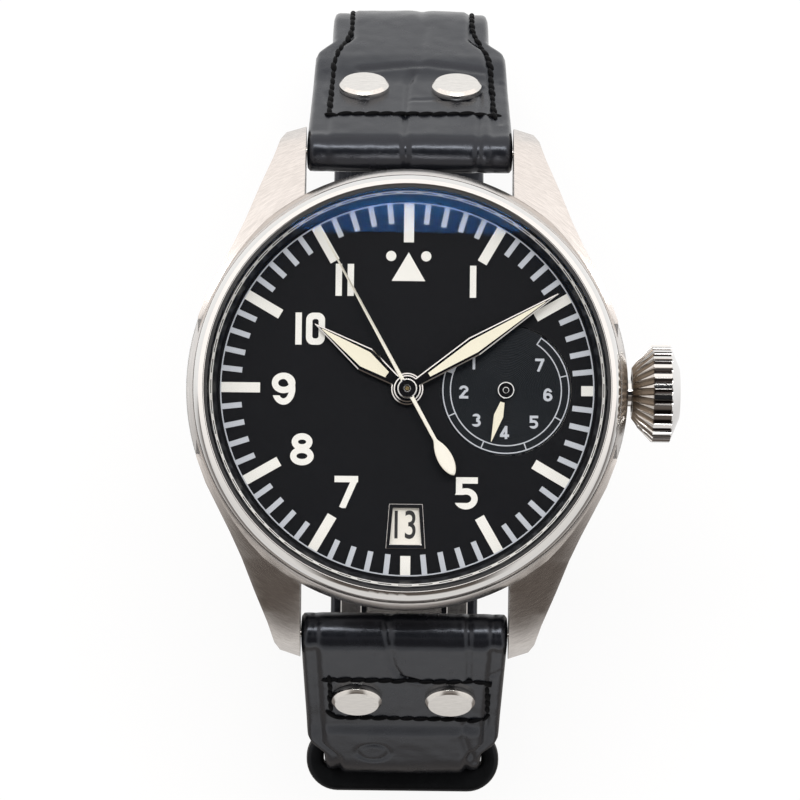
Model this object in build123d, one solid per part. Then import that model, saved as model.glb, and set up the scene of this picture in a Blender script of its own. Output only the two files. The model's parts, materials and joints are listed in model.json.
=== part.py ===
import os
from math import acos, asin, atan2, cos, degrees, hypot, radians, sin, sqrt, tan

from build123d import *

# A large pilot's wrist watch on a leather strap, closed in a loop by a folding clasp.
# Millimetres. +Z points out of the dial, +Y to twelve o'clock, +X to the crown.
# The origin is the centre of the case back's flat outer face.

# Stack of heights, from the case back up
back_thickness = 1.6
shield_thickness = 0.4
rotor_gap = 0.3
rotor_thickness = 1.6
bridge_gap = 0.2
bridge_thickness = 1.0
train_height = 2.4
plate_thickness = 1.2
motion_height = 1.2
dial_thickness = 0.4
flange_height = 2.4
print_thickness = 0.05
lume_thickness = 0.08
running_gap = 0.05
cut_over = 1.0
same_point = 1e-6

# Case, bezel and crystal: the widest radius, then walls, steps and ledges inwards from it
case_radius = 23.1
case_top_step = 0.75
case_foot_step = 1.8
case_foot_z = 0.6
case_low_z = 2.8
case_rise = 1.3
case_shoulder_drop = 2.0
bezel_step = 0.9
bezel_wall = 1.13
bezel_roll = 1.0
bezel_height = 2.8
bezel_shoulder = 1.5
bezel_curve = 1.8
crystal_gasket_wall = 0.32
crystal_edge = 1.6
crystal_rise = 1.5
crystal_wall = 1.9
dial_edge_gap = 0.77
dial_ledge = 0.8
flange_cover = 0.55
flange_head_step = 0.37
back_rim = 0.9
holder_wall = 1.0
spigot_wall = 0.8
spigot_height = 1.6
gasket_section = 0.6
key_notch_radius = 1.1
key_notch_inset = 1.76
key_notch_depth = 0.6
key_notch_count = 6

# Lugs and spring bars
lug_gap = 22.0
lug_side_step = 1.2
lug_tip_width = 2.7
lug_top_drop = 0.6
lug_tip_top_z = 3.2
lug_tip_bottom_z = 1.4
lug_side_shares = ((1.0, 0.26), (0.954, 0.356), (0.836, 0.537), (0.781, 0.63), (0.721, 0.751))
lug_tip_shares = ((1.051, 0.872), (1.0, 0.947), (0.956, 0.975))
lug_top_shares = ((0.25, 1.0), (0.55, 0.93), (0.8, 0.68))
lug_under_shares = (0.93, 0.75, 0.55)
bar_inset = 2.5
bar_case_gap = 0.3
bar_z = 2.6
bar_radius = 0.9
bar_shoulder_radius = 0.65
bar_tip_radius = 0.4
bar_shoulder_length = 0.3
bar_tip_length = 1.0
bar_hole_depth = 1.2

# Crown, tube and stem
crown_above_train = 1.4
crown_gap = 0.5
crown_cone_length = 2.1
crown_band_length = 1.9
crown_dome_length = 1.0
crown_radius = 5.12
crown_neck_radius = 2.95
crown_face_radius = 2.7
crown_flutes = 28
flute_radius = 0.42
crown_bore_radius = 2.0
crown_bore_depth = 1.7
tube_radius = 1.4
tube_bore_radius = 0.8
tube_inset = 0.5
tube_stand = 1.8
stem_radius = 0.6
stem_inset = 7.0
pinion_length = 1.6
pinion_radius = 0.9
gasket_length = 0.6

# Movement: the train's modules and distances are counted in small steps of its radius
rim_wall = 1.3
holder_gap = 0.05
rotor_clearance = 0.9
rotor_rim_width = 2.6
rotor_web = 0.6
rotor_hub_radius = 3.4
rotor_start_angle = 180
rotor_sweep = 180
bearing_radius = 2.4
bearing_bore_radius = 1.2
tooth_trim = 0.03
tooth_depth = 0.3
tooth_shares = ((0.05, 0), (0.3, 1), (0.55, 1), (0.8, 0))
wheel_thickness = 0.25
wheel_rim = 0.55
wheel_hub_radius = 0.9
arbor_radius = 0.22
pivot_gap = 0.04
train_step_count = 1850
barrel_module_steps = 17
barrel_teeth = 60
barrel_pinion_teeth = 9
barrel_height = 1.55
barrel_wall = 0.35
barrel_distance_steps = 1150
barrel_angle = 140
barrel_arbor_radius = 1.1
mainspring_turns = 5
mainspring_width = 0.2
mainspring_margin = 0.145
second_module_steps = 16
second_teeth = 45
third_module_steps = 15
third_teeth = 48
fourth_module_steps = 12
fourth_teeth = 60
leaf_count = 6
third_angle = 85
escape_angle = -80
escape_radius_steps = 220
escape_teeth = 15
escape_tooth_shares = ((0, 1.0), (0.15, 0.75), (0.85, 0.72))
escape_rim_share = 0.55
balance_angle = -79.6
balance_distance_steps = 1110
balance_radius_steps = 410
balance_rim = 0.6
balance_height = 0.6
staff_radius = 0.18
hairspring_turns = 6
hairspring_width = 0.1
hairspring_pitch = 0.3
hairspring_radius = 0.7
hairspring_height = 0.3
fork_share = 0.38
fork_radius = 0.5
fork_width = 0.35
fork_span_steps = 150
fork_arm_steps = 210
barrel_bridge_start, barrel_bridge_sweep = 92, 136
train_bridge_start, train_bridge_sweep = -30, 120
balance_cock_start, balance_cock_sweep = 230, 98
bridge_screw_angles = (100, 160, 220, -22, 30, 82, 240, 280, 320)
screw_radius = 0.6
screw_head = 0.35
jewel_radius = 0.65

# Motion work, date and power reserve
minute_wheel_module_steps = 20
cannon_leaves = 10
minute_teeth = 30
minute_leaves = 8
minute_post_radius = 0.3
hour_teeth = 32
hour_pipe_radius = 0.95
hour_pipe_bore = 0.71
cannon_radius = 0.66
cannon_bore = 0.27
minute_wheel_angle = 200
date_margin = 1.2
date_band = 5.4
date_thickness = 0.4
date_teeth = 31
date_tooth_depth = 0.5
reserve_arbor_radius = 0.25
reserve_wheel_radius = 1.3

# Dial and its print: places on it are counted in steps of its radius
dial_step_count = 203
reserve_place_steps = 103
subdial_radius_steps = 68.5
track_margin = 0.9
track_line = 0.13
minute_tick_length = 2.07
minute_tick_width = 0.57
hour_bar_length = 4.05
hour_bar_width = 1.05
three_bar_length = 1.25
six_bar_length = 2.0
triangle_apex_drop = 5.1
triangle_height = 3.0
triangle_width = 3.5
dot_radius = 0.53
dot_x = 1.83
dot_drop = 0.4
minute_step_angle = 6
hour_step_angle = 30
numeral_height = 3.35
numeral_width = 2.46
numeral_stroke = 0.66
numeral_steps = {
    "9": (-129, -1), "8": (-109, -64), "7": (-62.4, -108), "5": (62.4, -108), "1": (67.5, 113),
    "10": (-102, 62), "11": (-66.5, 113.5),
}
zero_width = 1.97
zero_corner = 0.75
pair_gap = 0.45
eleven_gap = 0.585
subdial_drop = 0.15
subdial_groove_pitch = 0.55
subdial_groove_width = 0.12
subdial_groove_depth = 0.04
subdial_plain_count = 2
ring_margin = 0.21
ring_band = 0.91
ring_line = 0.12
ring_start_angle = 33.5
ring_end_angle = 287.5
ring_cells = 6
ring_wedge_angle = 12.5
small_height = 1.36
small_width = 0.95
small_stroke = 0.27
small_inset = 1.33
small_digit_count = 7
small_start_angle = 310
small_step_angle = 42.9
window_margin = 0.5
window_top_width = 2.66
window_bottom_width = 3.3
window_height = 3.83
window_frame_width = 0.42
window_frame_rise = 0.1
dial_hole_radius = 1.0
dial_foot_radius = 0.3
dial_foot_margin = 0.55
dial_foot_angles = (25, 205)

# Hands: the long ones end at a set distance inside the minute track
hand_thickness = 0.2
hour_lift = 0.6
minute_lift = 1.2
seconds_lift = 1.8
hour_angle = 304.5
minute_angle = 57.2
seconds_angle = 331.0
reserve_angle = 195.5
hour_short = 7.65
hour_boss = 1.66
hour_shoulder = 5.35
hour_half_width = 1.3
hour_root_half = 0.6
hour_lume_start = 2.57
hour_lume_inset = 0.85
hour_lume_half = 0.9
hour_lume_root = 0.34
minute_short = 0.75
minute_boss = 1.4
minute_shoulder = 8.25
minute_half_width = 1.05
minute_root_half = 0.45
minute_lume_start = 2.7
minute_lume_inset = 1.65
minute_lume_half = 0.7
minute_lume_root = 0.22
tip_half = 0.03
seconds_short = 0.1
seconds_hub = 1.03
seconds_root_half = 0.21
seconds_tip_half = 0.07
tail_reach = 10.25
tail_start = 6.1
tail_half_width = 0.79
tail_stem_half = 0.2
tail_leaf_shares = ((0.08, 0.42), (0.16, 0.63), (0.25, 0.79), (0.35, 0.92), (0.48, 1.0), (0.6, 0.99),
                    (0.72, 0.9), (0.82, 0.74), (0.9, 0.54), (0.96, 0.31))
reserve_short = 0.13
reserve_boss = 0.86
reserve_shoulder = 2.8
reserve_half_width = 0.5
reserve_root_half = 0.14
reserve_lift = 0.2
reserve_hand_thickness = 0.15

# Strap loop, drawn in the plane of Y and Z
strap_side_gap = 0.15
strap_shoulder_taper = 0.9
strap_neck_step = 3.6
strap_tail_taper = 0.4
strap_tube_radius = 2.2
strap_bore_gap = 0.05
strap_slope = 58.6
strap_stand = 15.4
strap_upper_stand = 17.9
strap_neck_thickness = 3.0
strap_tail_thickness = 2.2
strap_bend_radius = 12.0
strap_corner_radius = 14.0
strap_floor_z = -43.0
strap_shoulder_z = -13.0
strap_shoulder_drop = 3.0
strap_tail_inset = 22.0
rivet_slope_place_upper = 10.9
rivet_slope_place_lower = 9.8
rivet_spacing = 10.0
rivet_radius = 2.7
rivet_head = 0.9
rivet_chamfer = 0.35
rivet_shank_radius = 1.2
hole_radius = 0.85
hole_pitch = 6.0
hole_count = 5
hole_tail_inset = 6.0
keeper_above_floor = 14.4
keeper_height = 6.0
keeper_wall = 1.3
keeper_side_gap = 0.45
keeper_front_gap = 0.6
keeper_back_gap = 0.3
keeper_corner = 2.2

# Folding clasp: heights above the strap's flat floor, places along the strap in Y
blade_inset = 1.3
rail_width = 2.4
blade_thickness = 0.8
blade_above_floor = 4.9
knuckle_radius = 0.95
pin_radius = 0.45
pin_gap = 0.06
hinge_side_inset = 16.0
cover_pin_y = 5.0
cover_pin_above_floor = 3.7
end_pin_side_inset = 15.0
end_pin_above_floor = 2.0
end_tube_radius = 1.9
end_notch_width = 9.0
tongue_side_gap = 0.5
hook_radius = 1.35
hook_gap = 0.35
cross_bar_inset = 5.0
cross_bar_length = 2.5
fold_side_gap = 0.6
fold_half_thickness = 0.36
cover_overhang = 1.5
cover_wall = 1.0
cover_thickness = 1.2
cover_start_y = -12.0
cover_end_y = 9.0
cover_wall_start_y = 0.5
cover_wall_end_y = 7.5
cover_wall_rise = 4.5
cover_corner = 1.5
post_radius = 0.75
post_length = 2.5

# Heights worked out from the stack
rotor_z = back_thickness + shield_thickness + rotor_gap
bridge_z = rotor_z + rotor_thickness + bridge_gap
train_z = bridge_z + bridge_thickness
plate_z = train_z + train_height
motion_z = plate_z + plate_thickness
dial_z = motion_z + motion_height
dial_top = dial_z + dial_thickness
crystal_z = dial_top + flange_height
case_top_z = dial_top + case_rise
case_high_z = case_top_z - case_shoulder_drop
lug_top_z = case_top_z - lug_top_drop
crown_z = train_z + crown_above_train

# Radii worked out from the case's widest radius inwards
case_top_radius = case_radius - case_top_step
case_foot_radius = case_radius - case_foot_step
bezel_radius = case_radius - bezel_step
bezel_bore_radius = bezel_radius - bezel_wall
bezel_crown_radius = bezel_radius - bezel_roll
crystal_radius = bezel_bore_radius - crystal_gasket_wall
dial_radius = bezel_bore_radius - dial_edge_gap
seat_radius = dial_radius - dial_ledge
flange_foot_radius = dial_radius - flange_cover
flange_head_radius = bezel_bore_radius - flange_head_step
back_radius = seat_radius + back_rim
spigot_radius = seat_radius - running_gap
movement_radius = seat_radius - holder_wall
rotor_radius = movement_radius - rotor_clearance
train_step = movement_radius / train_step_count
barrel_module = barrel_module_steps * train_step
second_module = second_module_steps * train_step
third_module = third_module_steps * train_step
fourth_module = fourth_module_steps * train_step
minute_wheel_module = minute_wheel_module_steps * train_step
barrel_distance = barrel_distance_steps * train_step
balance_distance = balance_distance_steps * train_step
balance_radius = balance_radius_steps * train_step
escape_radius = escape_radius_steps * train_step
fork_span = fork_span_steps * train_step
fork_arm_span = fork_arm_steps * train_step
date_outer_radius = movement_radius - date_margin
date_inner_radius = date_outer_radius - date_band
track_radius = dial_radius - track_margin
dial_foot_place = movement_radius - dial_foot_margin
dial_step = dial_radius / dial_step_count
reserve_x = reserve_place_steps * dial_step
subdial_radius = subdial_radius_steps * dial_step
ring_outer_radius = subdial_radius - ring_margin
ring_inner_radius = ring_outer_radius - ring_band
small_radius = ring_inner_radius - small_inset
window_top_y = -(date_inner_radius + window_margin)
triangle_apex_radius = track_radius - triangle_apex_drop
triangle_base_radius = triangle_apex_radius - triangle_height
dot_y = triangle_apex_radius - dot_drop
hour_reach = track_radius - hour_short
hour_lume_end = hour_reach - hour_lume_inset
minute_reach = track_radius - minute_short
minute_lume_end = minute_reach - minute_lume_inset
seconds_reach = track_radius - seconds_short
reserve_reach = ring_inner_radius - reserve_short

# Places of the lugs, the crown and the strap worked out from the case
lug_side_x = case_radius - lug_side_step
lug_tip_x = lug_gap / 2 + lug_tip_width
bar_y = case_radius + bar_case_gap + strap_tube_radius
lug_reach = bar_y + bar_inset
crown_start_x = case_radius + crown_gap
tube_start_x = seat_radius - tube_inset
tube_end_x = case_radius + tube_stand
stem_start_x = movement_radius - stem_inset
strap_width = lug_gap - 2 * strap_side_gap
strap_half = strap_width / 2
strap_shoulder_width = strap_width - strap_shoulder_taper
strap_neck_width = strap_shoulder_width - strap_neck_step
strap_tail_width = strap_neck_width - strap_tail_taper
strap_side_y = bar_y + strap_stand
strap_upper_side_y = bar_y + strap_upper_stand
strap_tail_y = strap_side_y - strap_tail_inset
keeper_z = strap_floor_z + keeper_above_floor

# Places of the clasp worked out from the strap
blade_width = strap_neck_width - 2 * blade_inset
blade_z = strap_floor_z + blade_above_floor
fold_width = blade_width - 2 * (rail_width + fold_side_gap)
hinge_y = -(strap_side_y - hinge_side_inset)
cover_pin_z = strap_floor_z + cover_pin_above_floor
end_pin_y = strap_side_y - end_pin_side_inset
end_pin_z = strap_floor_z + end_pin_above_floor
cross_bar_y = end_pin_y - cross_bar_inset
tongue_width = end_notch_width - 2 * tongue_side_gap
cover_half_width = strap_tail_width / 2 + cover_overhang
cover_wall_top_z = strap_floor_z + cover_wall_rise
hole_first_y = strap_tail_y - hole_tail_inset - (hole_count - 1) * hole_pitch


# Helpers

def turned(*points):
    """A body turned about the dial axis from its half section of (radius, height) points."""
    return revolve(Plane.XZ * Polygon(*points, align=None), Axis.Z)


def disc(radius, low, high, x=0, y=0):
    return Pos(x, y, low) * extrude(Circle(radius), high - low, dir=(0, 0, 1))


def ring(outer, inner, low, high, x=0, y=0):
    return Pos(x, y, low) * extrude(Circle(outer) - Circle(inner), high - low, dir=(0, 0, 1))


def slab(face, low, high):
    return Pos(0, 0, low) * extrude(face, high - low, dir=(0, 0, 1))


def rod(radius, start, length):
    """A rod along X from its start point."""
    x, y, z = start
    return Pos(x + length / 2, y, z) * Rot(0, 90, 0) * Cylinder(radius, length)


def side_slab(face, half_width, offset=0):
    """A face drawn in Y and Z, thickened along X to both sides of the offset."""
    return Pos(offset, 0, 0) * extrude(Plane.YZ * face, half_width, dir=(1, 0, 0), both=True)


def outline(corners):
    """A closed face through (u, v, radius) corners, with an arc at each corner that has a radius."""
    edges = []
    last = None
    first = None
    count = len(corners)
    for i in range(count):
        u, v, r = corners[i]
        before = corners[i - 1]
        after = corners[(i + 1) % count]
        start = end = (u, v)
        if r > 0:
            a = hypot(before[0] - u, before[1] - v)
            b = hypot(after[0] - u, after[1] - v)
            ua = ((before[0] - u) / a, (before[1] - v) / a)
            ub = ((after[0] - u) / b, (after[1] - v) / b)
            half = acos(ua[0] * ub[0] + ua[1] * ub[1]) / 2
            reach = r / tan(half)
            start = (u + ua[0] * reach, v + ua[1] * reach)
            end = (u + ub[0] * reach, v + ub[1] * reach)
            mid = ((ua[0] + ub[0]), (ua[1] + ub[1]))
            size = hypot(*mid)
            away = r / sin(half) - r
            crest = (u + mid[0] / size * away, v + mid[1] / size * away)
        if last is not None and hypot(start[0] - last[0], start[1] - last[1]) > same_point:
            edges.append(Line(last, start))
        if first is None:
            first = start
        if r > 0:
            edges.append(ThreePointArc(start, crest, end))
        last = end
    edges.append(Line(last, first))
    return make_face(edges)


def polar(radius, angle):
    """Point at a clockwise angle from twelve o'clock."""
    return radius * sin(radians(angle)), radius * cos(radians(angle))


def on_circle(radius, angle):
    """Point at a counterclockwise angle from three o'clock."""
    return radius * cos(radians(angle)), radius * sin(radians(angle))


def group(solids):
    """Separate solids kept in one node."""
    kept = []
    for piece in solids:
        kept.extend(piece.solids())
    return Compound(children=kept)


def gear_face(teeth, outer, depth):
    """A toothed outline with straight-sided teeth."""
    points = []
    for i in range(teeth):
        for share, rise_share in tooth_shares:
            points.append(on_circle(outer - depth + rise_share * depth, (i + share) * 360 / teeth))
    return Polygon(*points, align=None)


def wheel(teeth, outer, low, x, y):
    """A train wheel: toothed rim, four arms and a hub."""
    rim_inside = outer - tooth_depth - wheel_rim
    face = gear_face(teeth, outer, tooth_depth) - Circle(rim_inside)
    arm = Rectangle(rim_inside * 2 + wheel_rim, wheel_rim)
    face = face + arm + Rot(0, 0, 90) * arm + Circle(wheel_hub_radius)
    return Pos(x, y, 0) * slab(face, low, low + wheel_thickness)


def spiral(inner, pitch, turns, width, low, high, x, y):
    """A spiral band made of half-circle arcs."""
    shift = pitch / 4
    outside, inside = [], []
    radius = inner
    for i in range(2 * turns):
        side = 1 if i % 2 == 0 else -1
        centre = -side * shift
        for edges, r in ((outside, radius + width), (inside, radius)):
            start = (centre + side * r, 0)
            end = (centre - side * r, 0)
            edges.append(ThreePointArc(start, (centre, side * r), end))
        radius += pitch / 2
    closing = [Line(outside[0] @ 0, inside[0] @ 0), Line(outside[-1] @ 1, inside[-1] @ 1)]
    face = make_face(outside + inside + closing)
    return Pos(x, y, 0) * slab(face, low, high)


# Train places

def meeting(first, reach_a, second, reach_b):
    """Point at given distances from two others, on the side towards twelve o'clock."""
    dx, dy = second[0] - first[0], second[1] - first[1]
    d = hypot(dx, dy)
    a = (reach_a ** 2 - reach_b ** 2 + d ** 2) / (2 * d)
    h = sqrt(reach_a ** 2 - a ** 2)
    return first[0] + (a * dx - h * dy) / d, first[1] + (a * dy + h * dx) / d


def pitch_radius(module, teeth):
    return module * teeth / 2


barrel_place = on_circle(barrel_distance, barrel_angle)
third_reach = pitch_radius(third_module, third_teeth + leaf_count)
third_place = on_circle(third_reach, third_angle)
second_place = meeting(
    barrel_place, pitch_radius(barrel_module, barrel_teeth + barrel_pinion_teeth),
    third_place, pitch_radius(second_module, second_teeth + leaf_count),
)
escape_place = on_circle(pitch_radius(fourth_module, fourth_teeth + leaf_count), escape_angle)
balance_place = on_circle(balance_distance, balance_angle)
fork_place = (
    escape_place[0] + (balance_place[0] - escape_place[0]) * fork_share,
    escape_place[1] + (balance_place[1] - escape_place[1]) * fork_share,
)
minute_wheel_reach = pitch_radius(minute_wheel_module, cannon_leaves + minute_teeth)
minute_wheel_place = on_circle(minute_wheel_reach, minute_wheel_angle)
train_low = train_z + 0.2 * bridge_thickness
second_wheel_z = plate_z - 0.5 * bridge_thickness
third_wheel_z = train_low + running_gap
fourth_wheel_z = train_low + 0.8 * bridge_thickness
escape_wheel_z = plate_z - 0.9 * bridge_thickness
pivot_top = plate_z - running_gap
pivot_low = train_z + running_gap


def pinion(module, leaves, low, high, x, y):
    radius = pitch_radius(module, leaves) - tooth_trim
    return Pos(x, y, 0) * slab(gear_face(leaves, radius, radius / 2), low, high)


# Case

def lug_outline():
    """Plan outline of one lug, as shares of its side place, tip place and reach."""
    points = [(0, 0), (lug_side_x, 0)]
    points += [(lug_side_x * u, lug_reach * v) for u, v in lug_side_shares]
    points += [(lug_tip_x * u, lug_reach * v) for u, v in lug_tip_shares]
    points += [(lug_gap / 2, lug_reach), (lug_gap / 2, 0)]
    return Polygon(*points, align=None)


def lug_profile():
    """Side outline of a lug in Y and Z: a long downward curve to a blunt tip."""
    top = Spline(
        *[(lug_reach * u, lug_top_z * v) for u, v in lug_top_shares], (lug_reach, lug_tip_top_z))
    first, second, third = [lug_reach * share for share in lug_under_shares]
    bottom = Spline(
        (lug_reach, lug_tip_bottom_z), (first, bar_z - strap_tube_radius), (second, case_foot_z),
        (third, case_foot_z))
    tip = Line(top @ 1, bottom @ 0)
    root = Polyline(bottom @ 1, (0, case_foot_z), (0, lug_top_z), top @ 0)
    return make_face([top, tip, bottom, root])


def case_middle():
    body = turned(
        (0, case_foot_z), (case_foot_radius, case_foot_z), (case_radius, case_low_z),
        (case_radius, case_high_z), (case_top_radius, case_top_z), (0, case_top_z),
    )
    lug = side_slab(lug_profile(), case_radius) & slab(lug_outline(), 0, case_top_z)
    pair = lug + mirror(lug, Plane.YZ)
    body = body + pair + mirror(pair, Plane.XZ)
    bore = disc(seat_radius, -cut_over, dial_z)
    upper = disc(bezel_bore_radius, dial_z, case_top_z + cut_over)
    foot = disc(back_radius + running_gap, -cut_over, back_thickness + gasket_section)
    body = body - bore - upper - foot
    passage = rod(tube_radius, (seat_radius - cut_over, 0, crown_z), case_radius)
    body = body - passage
    length = lug_gap + 2 * bar_hole_depth
    for side in (1, -1):
        body = body - rod(bar_tip_radius + running_gap, (-length / 2, side * bar_y, bar_z), length)
    return body


def bezel():
    top = case_top_z + bezel_height
    section = make_face([
        Line((bezel_bore_radius, case_top_z), (bezel_radius, case_top_z)),
        Line((bezel_radius, case_top_z), (bezel_radius, top - bezel_shoulder)),
        RadiusArc((bezel_radius, top - bezel_shoulder), (bezel_crown_radius, top), -bezel_curve),
        Line((bezel_crown_radius, top), (bezel_bore_radius, top)),
        Line((bezel_bore_radius, top), (bezel_bore_radius, case_top_z)),
    ])
    return revolve(Plane.XZ * section, Axis.Z)


def dome_arc(radius, rim, rise):
    """A spherical arc from the rim to the crest on the axis."""
    ball = (radius ** 2 + rise ** 2) / (2 * rise)
    half = asin(radius / ball) / 2
    middle = (ball * sin(half), rim + rise - ball + ball * cos(half))
    return ThreePointArc((radius, rim), middle, (0, rim + rise))


def crystal():
    rim = crystal_z + crystal_edge
    hollow = crystal_edge + crystal_rise - crystal_wall
    outside = dome_arc(crystal_radius, rim, crystal_rise)
    inside = dome_arc(flange_foot_radius, crystal_z, hollow)
    section = make_face([
        outside, inside,
        Line((0, rim + crystal_rise), (0, crystal_z + hollow)),
        Line((flange_foot_radius, crystal_z), (crystal_radius, crystal_z)),
        Line((crystal_radius, crystal_z), (crystal_radius, rim)),
    ])
    return revolve(Plane.XZ * section, Axis.Z)


def crystal_gasket():
    return ring(bezel_bore_radius, crystal_radius, crystal_z, crystal_z + crystal_edge)


def dial_flange():
    return turned(
        (flange_foot_radius, dial_top), (bezel_bore_radius - running_gap, dial_top),
        (bezel_bore_radius - running_gap, crystal_z), (flange_head_radius, crystal_z),
    )


def case_back():
    inner = spigot_radius - spigot_wall
    body = disc(back_radius, 0, back_thickness)
    body = chamfer(body.edges().group_by(Axis.Z)[0], back_thickness / 4)
    body = body + ring(spigot_radius, inner, back_thickness, back_thickness + spigot_height)
    for i in range(key_notch_count):
        x, y = on_circle(back_radius - key_notch_inset, i * 360 / key_notch_count)
        body = body - disc(key_notch_radius, -cut_over, key_notch_depth, x, y)
    return body


def case_back_gasket():
    outer = back_radius - running_gap
    return ring(outer, seat_radius + running_gap, back_thickness, back_thickness + gasket_section)


def iron_shield():
    radius = spigot_radius - spigot_wall - running_gap
    return disc(radius, back_thickness, back_thickness + shield_thickness)


# Crown

def crown():
    end = crown_start_x + crown_cone_length + crown_band_length + crown_dome_length
    band = crown_start_x + crown_cone_length
    section = Polygon(
        (0, crown_start_x), (crown_neck_radius, crown_start_x), (crown_radius, band),
        (crown_radius, band + crown_band_length), (crown_face_radius, end), (0, end), align=None,
    )
    body = revolve(Plane.XZ * section, Axis.Z)
    tilt = degrees(atan2(crown_radius - crown_neck_radius, crown_cone_length))
    outside = flute_radius / 3
    groove_band = Pos(crown_radius + outside, 0, band + crown_band_length / 2)
    groove_band = groove_band * Cylinder(flute_radius, crown_band_length * 3)
    middle = (crown_radius + crown_neck_radius) / 2 + outside
    groove_cone = Pos(middle, 0, crown_start_x + crown_cone_length / 2) * Rot(0, tilt, 0)
    groove_cone = groove_cone * Cylinder(flute_radius, crown_cone_length * 2)
    for i in range(crown_flutes):
        turn = Rot(0, 0, i * 360 / crown_flutes)
        body = body - turn * groove_band - turn * groove_cone
    bore = disc(crown_bore_radius, crown_start_x - cut_over, crown_start_x + crown_bore_depth)
    hole = disc(stem_radius, crown_start_x, crown_start_x + crown_bore_depth + crown_cone_length / 2)
    return Pos(0, 0, crown_z) * Rot(0, 90, 0) * (body - bore - hole)


def winding_stem():
    end = crown_start_x + crown_bore_depth + crown_cone_length / 2
    stem = rod(stem_radius, (stem_start_x, 0, crown_z), end - stem_start_x)
    collar = rod(pinion_radius, (stem_start_x, 0, crown_z), pinion_length)
    return stem + collar


def crown_tube():
    length = tube_end_x - tube_start_x
    start = (tube_start_x, 0, crown_z)
    return rod(tube_radius, start, length) - rod(tube_bore_radius, start, length)


def crown_gasket():
    start = (crown_start_x + crown_bore_depth / 4, 0, crown_z)
    outside = rod(crown_bore_radius - running_gap, start, gasket_length)
    return outside - rod(tube_radius + running_gap, start, gasket_length)


# Movement

def movement_holder():
    body = ring(seat_radius, movement_radius + holder_gap, back_thickness + spigot_height, dial_z)
    passage = rod(tube_radius, (movement_radius - cut_over, 0, crown_z), holder_wall + 3 * cut_over)
    return body - passage


def mainplate():
    body = disc(movement_radius, plate_z, motion_z)
    body = body + ring(movement_radius, movement_radius - rim_wall, train_z, plate_z)
    for hole in (
        disc(cannon_bore, plate_z - cut_over, motion_z + cut_over),
        disc(reserve_arbor_radius + pivot_gap, plate_z + plate_thickness / 2, motion_z + cut_over, reserve_x),
    ):
        body = body - hole
    passage = rod(tube_bore_radius, (stem_start_x, 0, crown_z), case_radius)
    post = disc(minute_post_radius, plate_z, dial_z - running_gap * 2, *minute_wheel_place)
    return body - passage + post


def barrel():
    x, y = barrel_place
    outer = pitch_radius(barrel_module, barrel_teeth) - tooth_trim
    drum_radius = outer - tooth_depth
    teeth = slab(gear_face(barrel_teeth, outer, tooth_depth), train_low, train_low + barrel_height / 3)
    drum = disc(drum_radius, train_low, train_low + barrel_height)
    room = ring(drum_radius - barrel_wall, barrel_arbor_radius, train_low + barrel_wall,
                train_low + barrel_height - barrel_wall)
    stub = disc(arbor_radius * 2, pivot_low, pivot_top)
    return Pos(x, y, 0) * (teeth + drum - room + stub)


def mainspring():
    x, y = barrel_place
    inner = barrel_arbor_radius + barrel_wall / 2
    outer = pitch_radius(barrel_module, barrel_teeth) - tooth_trim - tooth_depth - barrel_wall
    pitch = (outer - mainspring_margin - mainspring_width - inner) / mainspring_turns
    low = train_low + barrel_wall + running_gap
    high = train_low + barrel_height - barrel_wall - running_gap
    return spiral(inner, pitch, mainspring_turns, mainspring_width, low, high, x, y)


def second_wheel():
    x, y = second_place
    outer = pitch_radius(second_module, second_teeth) - tooth_trim
    leaves = pinion(barrel_module, barrel_pinion_teeth, train_low, second_wheel_z, x, y)
    arbor = disc(arbor_radius, pivot_low, pivot_top, x, y)
    return wheel(second_teeth, outer, second_wheel_z, x, y) + leaves + arbor


def third_wheel():
    x, y = third_place
    outer = pitch_radius(third_module, third_teeth) - tooth_trim
    leaves = pinion(second_module, leaf_count, third_wheel_z + wheel_thickness, pivot_top - running_gap, x, y)
    arbor = disc(arbor_radius, pivot_low, pivot_top, x, y)
    return wheel(third_teeth, outer, third_wheel_z, x, y) + leaves + arbor


def seconds_wheel():
    """The fourth wheel, whose long arbor carries the seconds hand."""
    outer = pitch_radius(fourth_module, fourth_teeth) - tooth_trim
    leaves = pinion(third_module, leaf_count, train_low, fourth_wheel_z, 0, 0)
    top = dial_top + seconds_lift + hand_thickness
    return wheel(fourth_teeth, outer, fourth_wheel_z, 0, 0) + leaves + disc(arbor_radius, pivot_low, top)


def escape_wheel():
    x, y = escape_place
    points = []
    for i in range(escape_teeth):
        for turn_share, radius_share in escape_tooth_shares:
            points.append(on_circle(escape_radius * radius_share, (i + turn_share) * 360 / escape_teeth))
    inside = escape_radius * escape_rim_share
    face = Polygon(*points, align=None) - Circle(inside)
    arm = Rectangle(inside * 2 + wheel_rim / 2, wheel_rim / 2)
    face = face + arm + Rot(0, 0, 90) * arm + Circle(wheel_hub_radius / 2)
    body = Pos(x, y, 0) * slab(face, escape_wheel_z, escape_wheel_z + wheel_thickness)
    leaves = pinion(fourth_module, leaf_count, fourth_wheel_z, escape_wheel_z, x, y)
    return body + leaves + disc(arbor_radius / 2, pivot_low, pivot_top, x, y)


def pallet_fork():
    x, y = fork_place
    toward = degrees(atan2(balance_place[1] - y, balance_place[0] - x))
    lever = Pos(fork_span / 2, 0) * Rectangle(fork_span, fork_width)
    arms = Pos(-fork_width / 2, 0) * Rectangle(fork_width, fork_arm_span)
    horns = Pos(fork_span, 0) * Rectangle(fork_width, fork_span / 2)
    face = Rot(0, 0, toward) * (lever + arms + horns + Circle(fork_radius))
    low = escape_wheel_z
    body = Pos(x, y, 0) * slab(face, low, low + wheel_thickness)
    return body + disc(staff_radius, pivot_low, pivot_top, x, y)


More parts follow.
